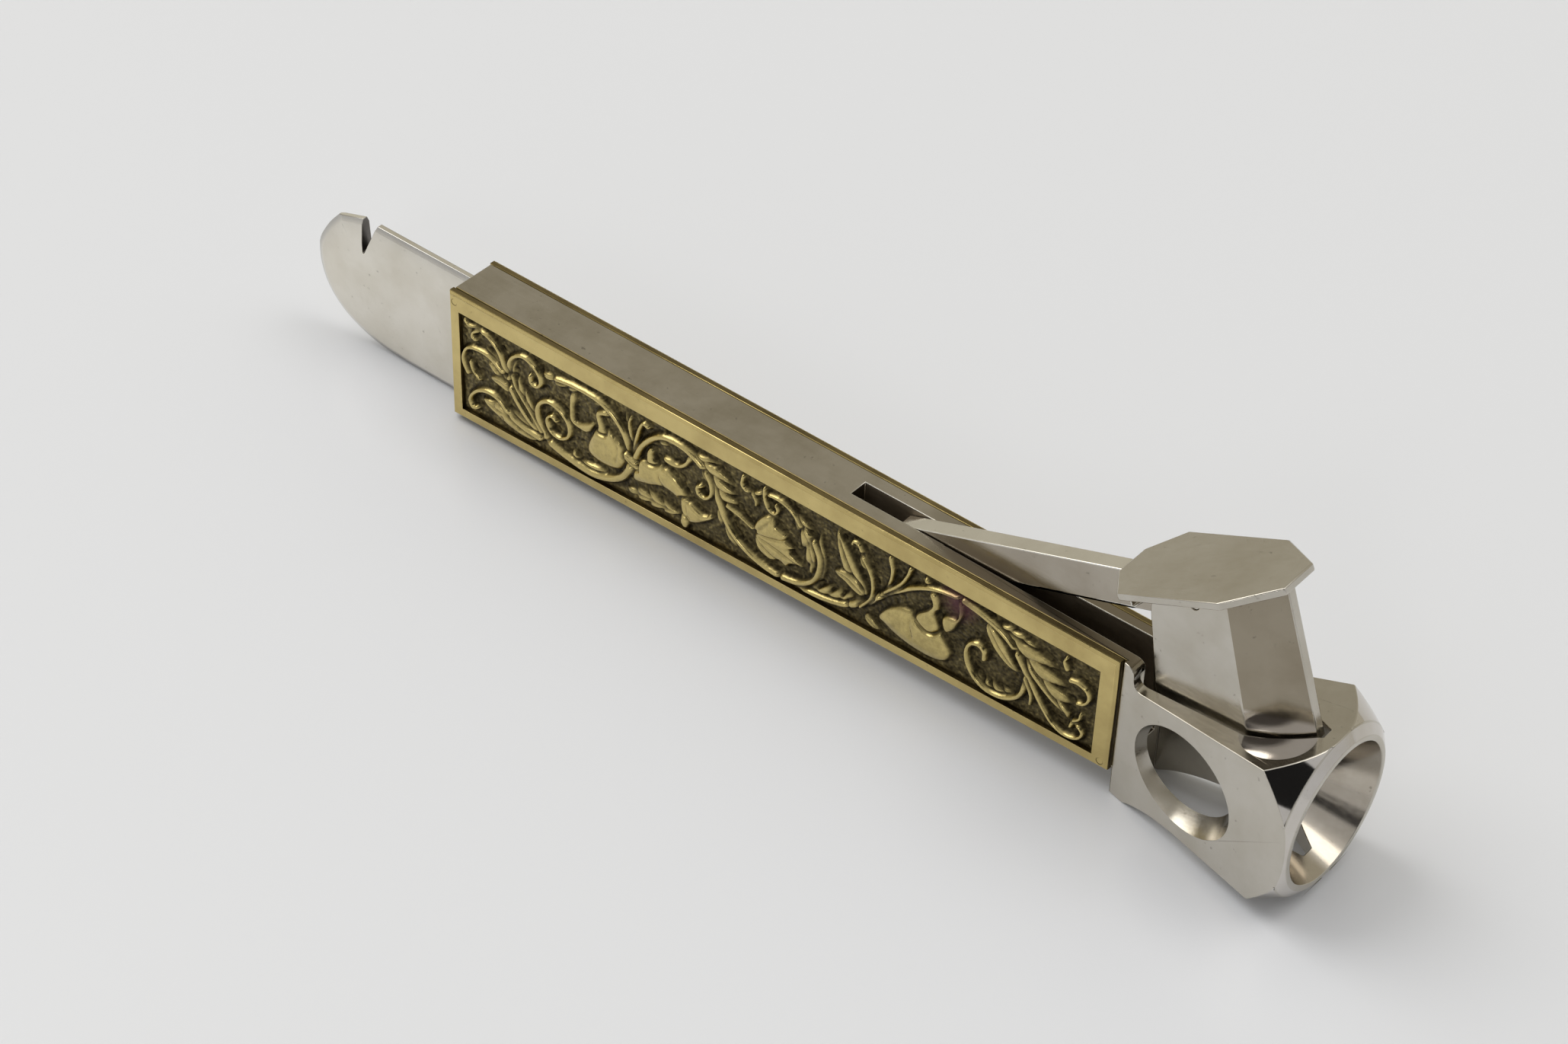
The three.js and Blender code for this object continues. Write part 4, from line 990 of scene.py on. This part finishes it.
def towards(direction):
    node = tree.nodes.new("ShaderNodeVectorMath")
    node.operation = "DOT_PRODUCT"
    link(gaze, node.inputs[0])
    node.inputs[1].default_value = Vector(direction).normalized()
    return node.outputs["Value"]


def fade(value, start, end):
    node = add(tree, "ShaderNodeMapRange", From_Min=start, From_Max=end)
    node.interpolation_type = "SMOOTHSTEP"
    link(value, node.inputs["Value"])
    return node.outputs["Result"]


def spot(direction, inner, outer):
    return fade(towards(direction), math.cos(math.radians(outer)), math.cos(math.radians(inner)))


def blend_in(under, colour, share):
    node = tree.nodes.new("ShaderNodeMix")
    node.data_type = "RGBA"
    link(share, node.inputs["Factor"])
    if isinstance(under, tuple):
        node.inputs["A"].default_value = (*under, 1.0)
    else:
        link(under, node.inputs["A"])
    node.inputs["B"].default_value = (*colour, 1.0)
    return node.outputs["Result"]


def maths(kind, a, b=None):
    node = tree.nodes.new("ShaderNodeMath")
    node.operation = kind
    link(a, node.inputs[0])
    if b is not None:
        link(b, node.inputs[1])
    return node.outputs["Value"]


# A dark band runs between these two directions
BAND_HIGH = Vector((0.67, -0.1, 0.74))
BAND_LOW = Vector((0.68, -0.67, 0.3))
# Where it is full and where it ends: off its middle line, as a sine, and from its middle, in degrees
BAND_WIDTH = (0.15, 0.24)
BAND_LENGTH = (21.5, 24)
BAND_COLOUR = (0.015, 0.015, 0.015)

# Round patches of the room: colour, direction, then the degrees from it where they are full and end
BACK_PATCHES = [
    ((0.44, 0.41, 0.335), (-0.494, 0.598, 0.631), 8, 24),
    ((0.9, 0.9, 0.89), (0.1, 0.2, 0.97), 12, 36),
]
FRONT_PATCHES = [
    ((0.03, 0.03, 0.03), (0.45, -0.7, 0.55), 10, 15),
    ((0.1, 0.095, 0.09), (0.12, -0.63, 0.77), 7, 13),
    ((5.0, 4.95, 4.85), (0.28, -0.82, 0.5), 3.5, 6.5),
]
ROOM_COLOUR = (0.6, 0.6, 0.6)
WARM_COLOUR = (0.52, 0.49, 0.405)
WARM_SIDE = (-0.6, 0.8, 0.0)

sky = blend_in(ROOM_COLOUR, WARM_COLOUR, fade(towards(WARM_SIDE), -0.2, 0.5))
for colour, direction, full, end in BACK_PATCHES:
    sky = blend_in(sky, colour, spot(direction, full, end))
off_line = maths("ABSOLUTE", towards(BAND_HIGH.cross(BAND_LOW)))
across_band = fade(off_line, BAND_WIDTH[1], BAND_WIDTH[0])
band = maths("MULTIPLY", across_band, spot(BAND_HIGH + BAND_LOW, *BAND_LENGTH))
sky = blend_in(sky, BAND_COLOUR, band)
for colour, direction, full, end in FRONT_PATCHES:
    sky = blend_in(sky, colour, spot(direction, full, end))
background = tree.nodes["Background"]
link(sky, background.inputs["Color"])
background.inputs["Strength"].default_value = 1.0

# Lamps are far off so that the light is even; size and power are given for one metre
LAMP_DISTANCE = 3.0


def area_light(name, towards_it, size, power, colour):
    data = bpy.data.lights.new(name, "AREA")
    data.shape = "DISK"
    data.size = size * LAMP_DISTANCE
    data.energy = power * LAMP_DISTANCE ** 2
    data.color = colour
    lamp = bpy.data.objects.new(name, data)
    scene.collection.objects.link(lamp)
    lamp.location = LAMP_DISTANCE * Vector(towards_it).normalized()
    lamp.rotation_euler = (-lamp.location).to_track_quat("-Z", "Y").to_euler()


area_light("left_lamp", (-0.62, -0.12, 0.78), 0.8, 4.2, (1.0, 0.99, 0.975))
area_light("back_lamp", (0.36, 0.28, 0.89), 0.5, 1.1, (1.0, 0.96, 0.89))

# Camera at the photo's viewing angle
LENS = 83.07
SENSOR = 36.0
CLIP_START = 0.01
CAMERA_PLACE = (0.19173, -0.24166, 0.27384)
CAMERA_RIGHT = (0.76813677, 0.63970855, 0.02718212)
CAMERA_UP = (-0.43359343, 0.48846609, 0.75723023)
CAMERA_BACK = (0.47112911, -0.59344237, 0.65258219)

camera_data = bpy.data.cameras.new("camera")
camera_data.sensor_fit = "HORIZONTAL"
camera_data.sensor_width = SENSOR
camera_data.lens = LENS
camera_data.clip_start = CLIP_START
camera = bpy.data.objects.new("camera", camera_data)
scene.collection.objects.link(camera)
camera.matrix_world = Matrix((
    *zip(CAMERA_RIGHT, CAMERA_UP, CAMERA_BACK, CAMERA_PLACE),
    (0.0, 0.0, 0.0, 1.0),
))
scene.camera = camera
scene.view_settings.view_transform = "Standard"
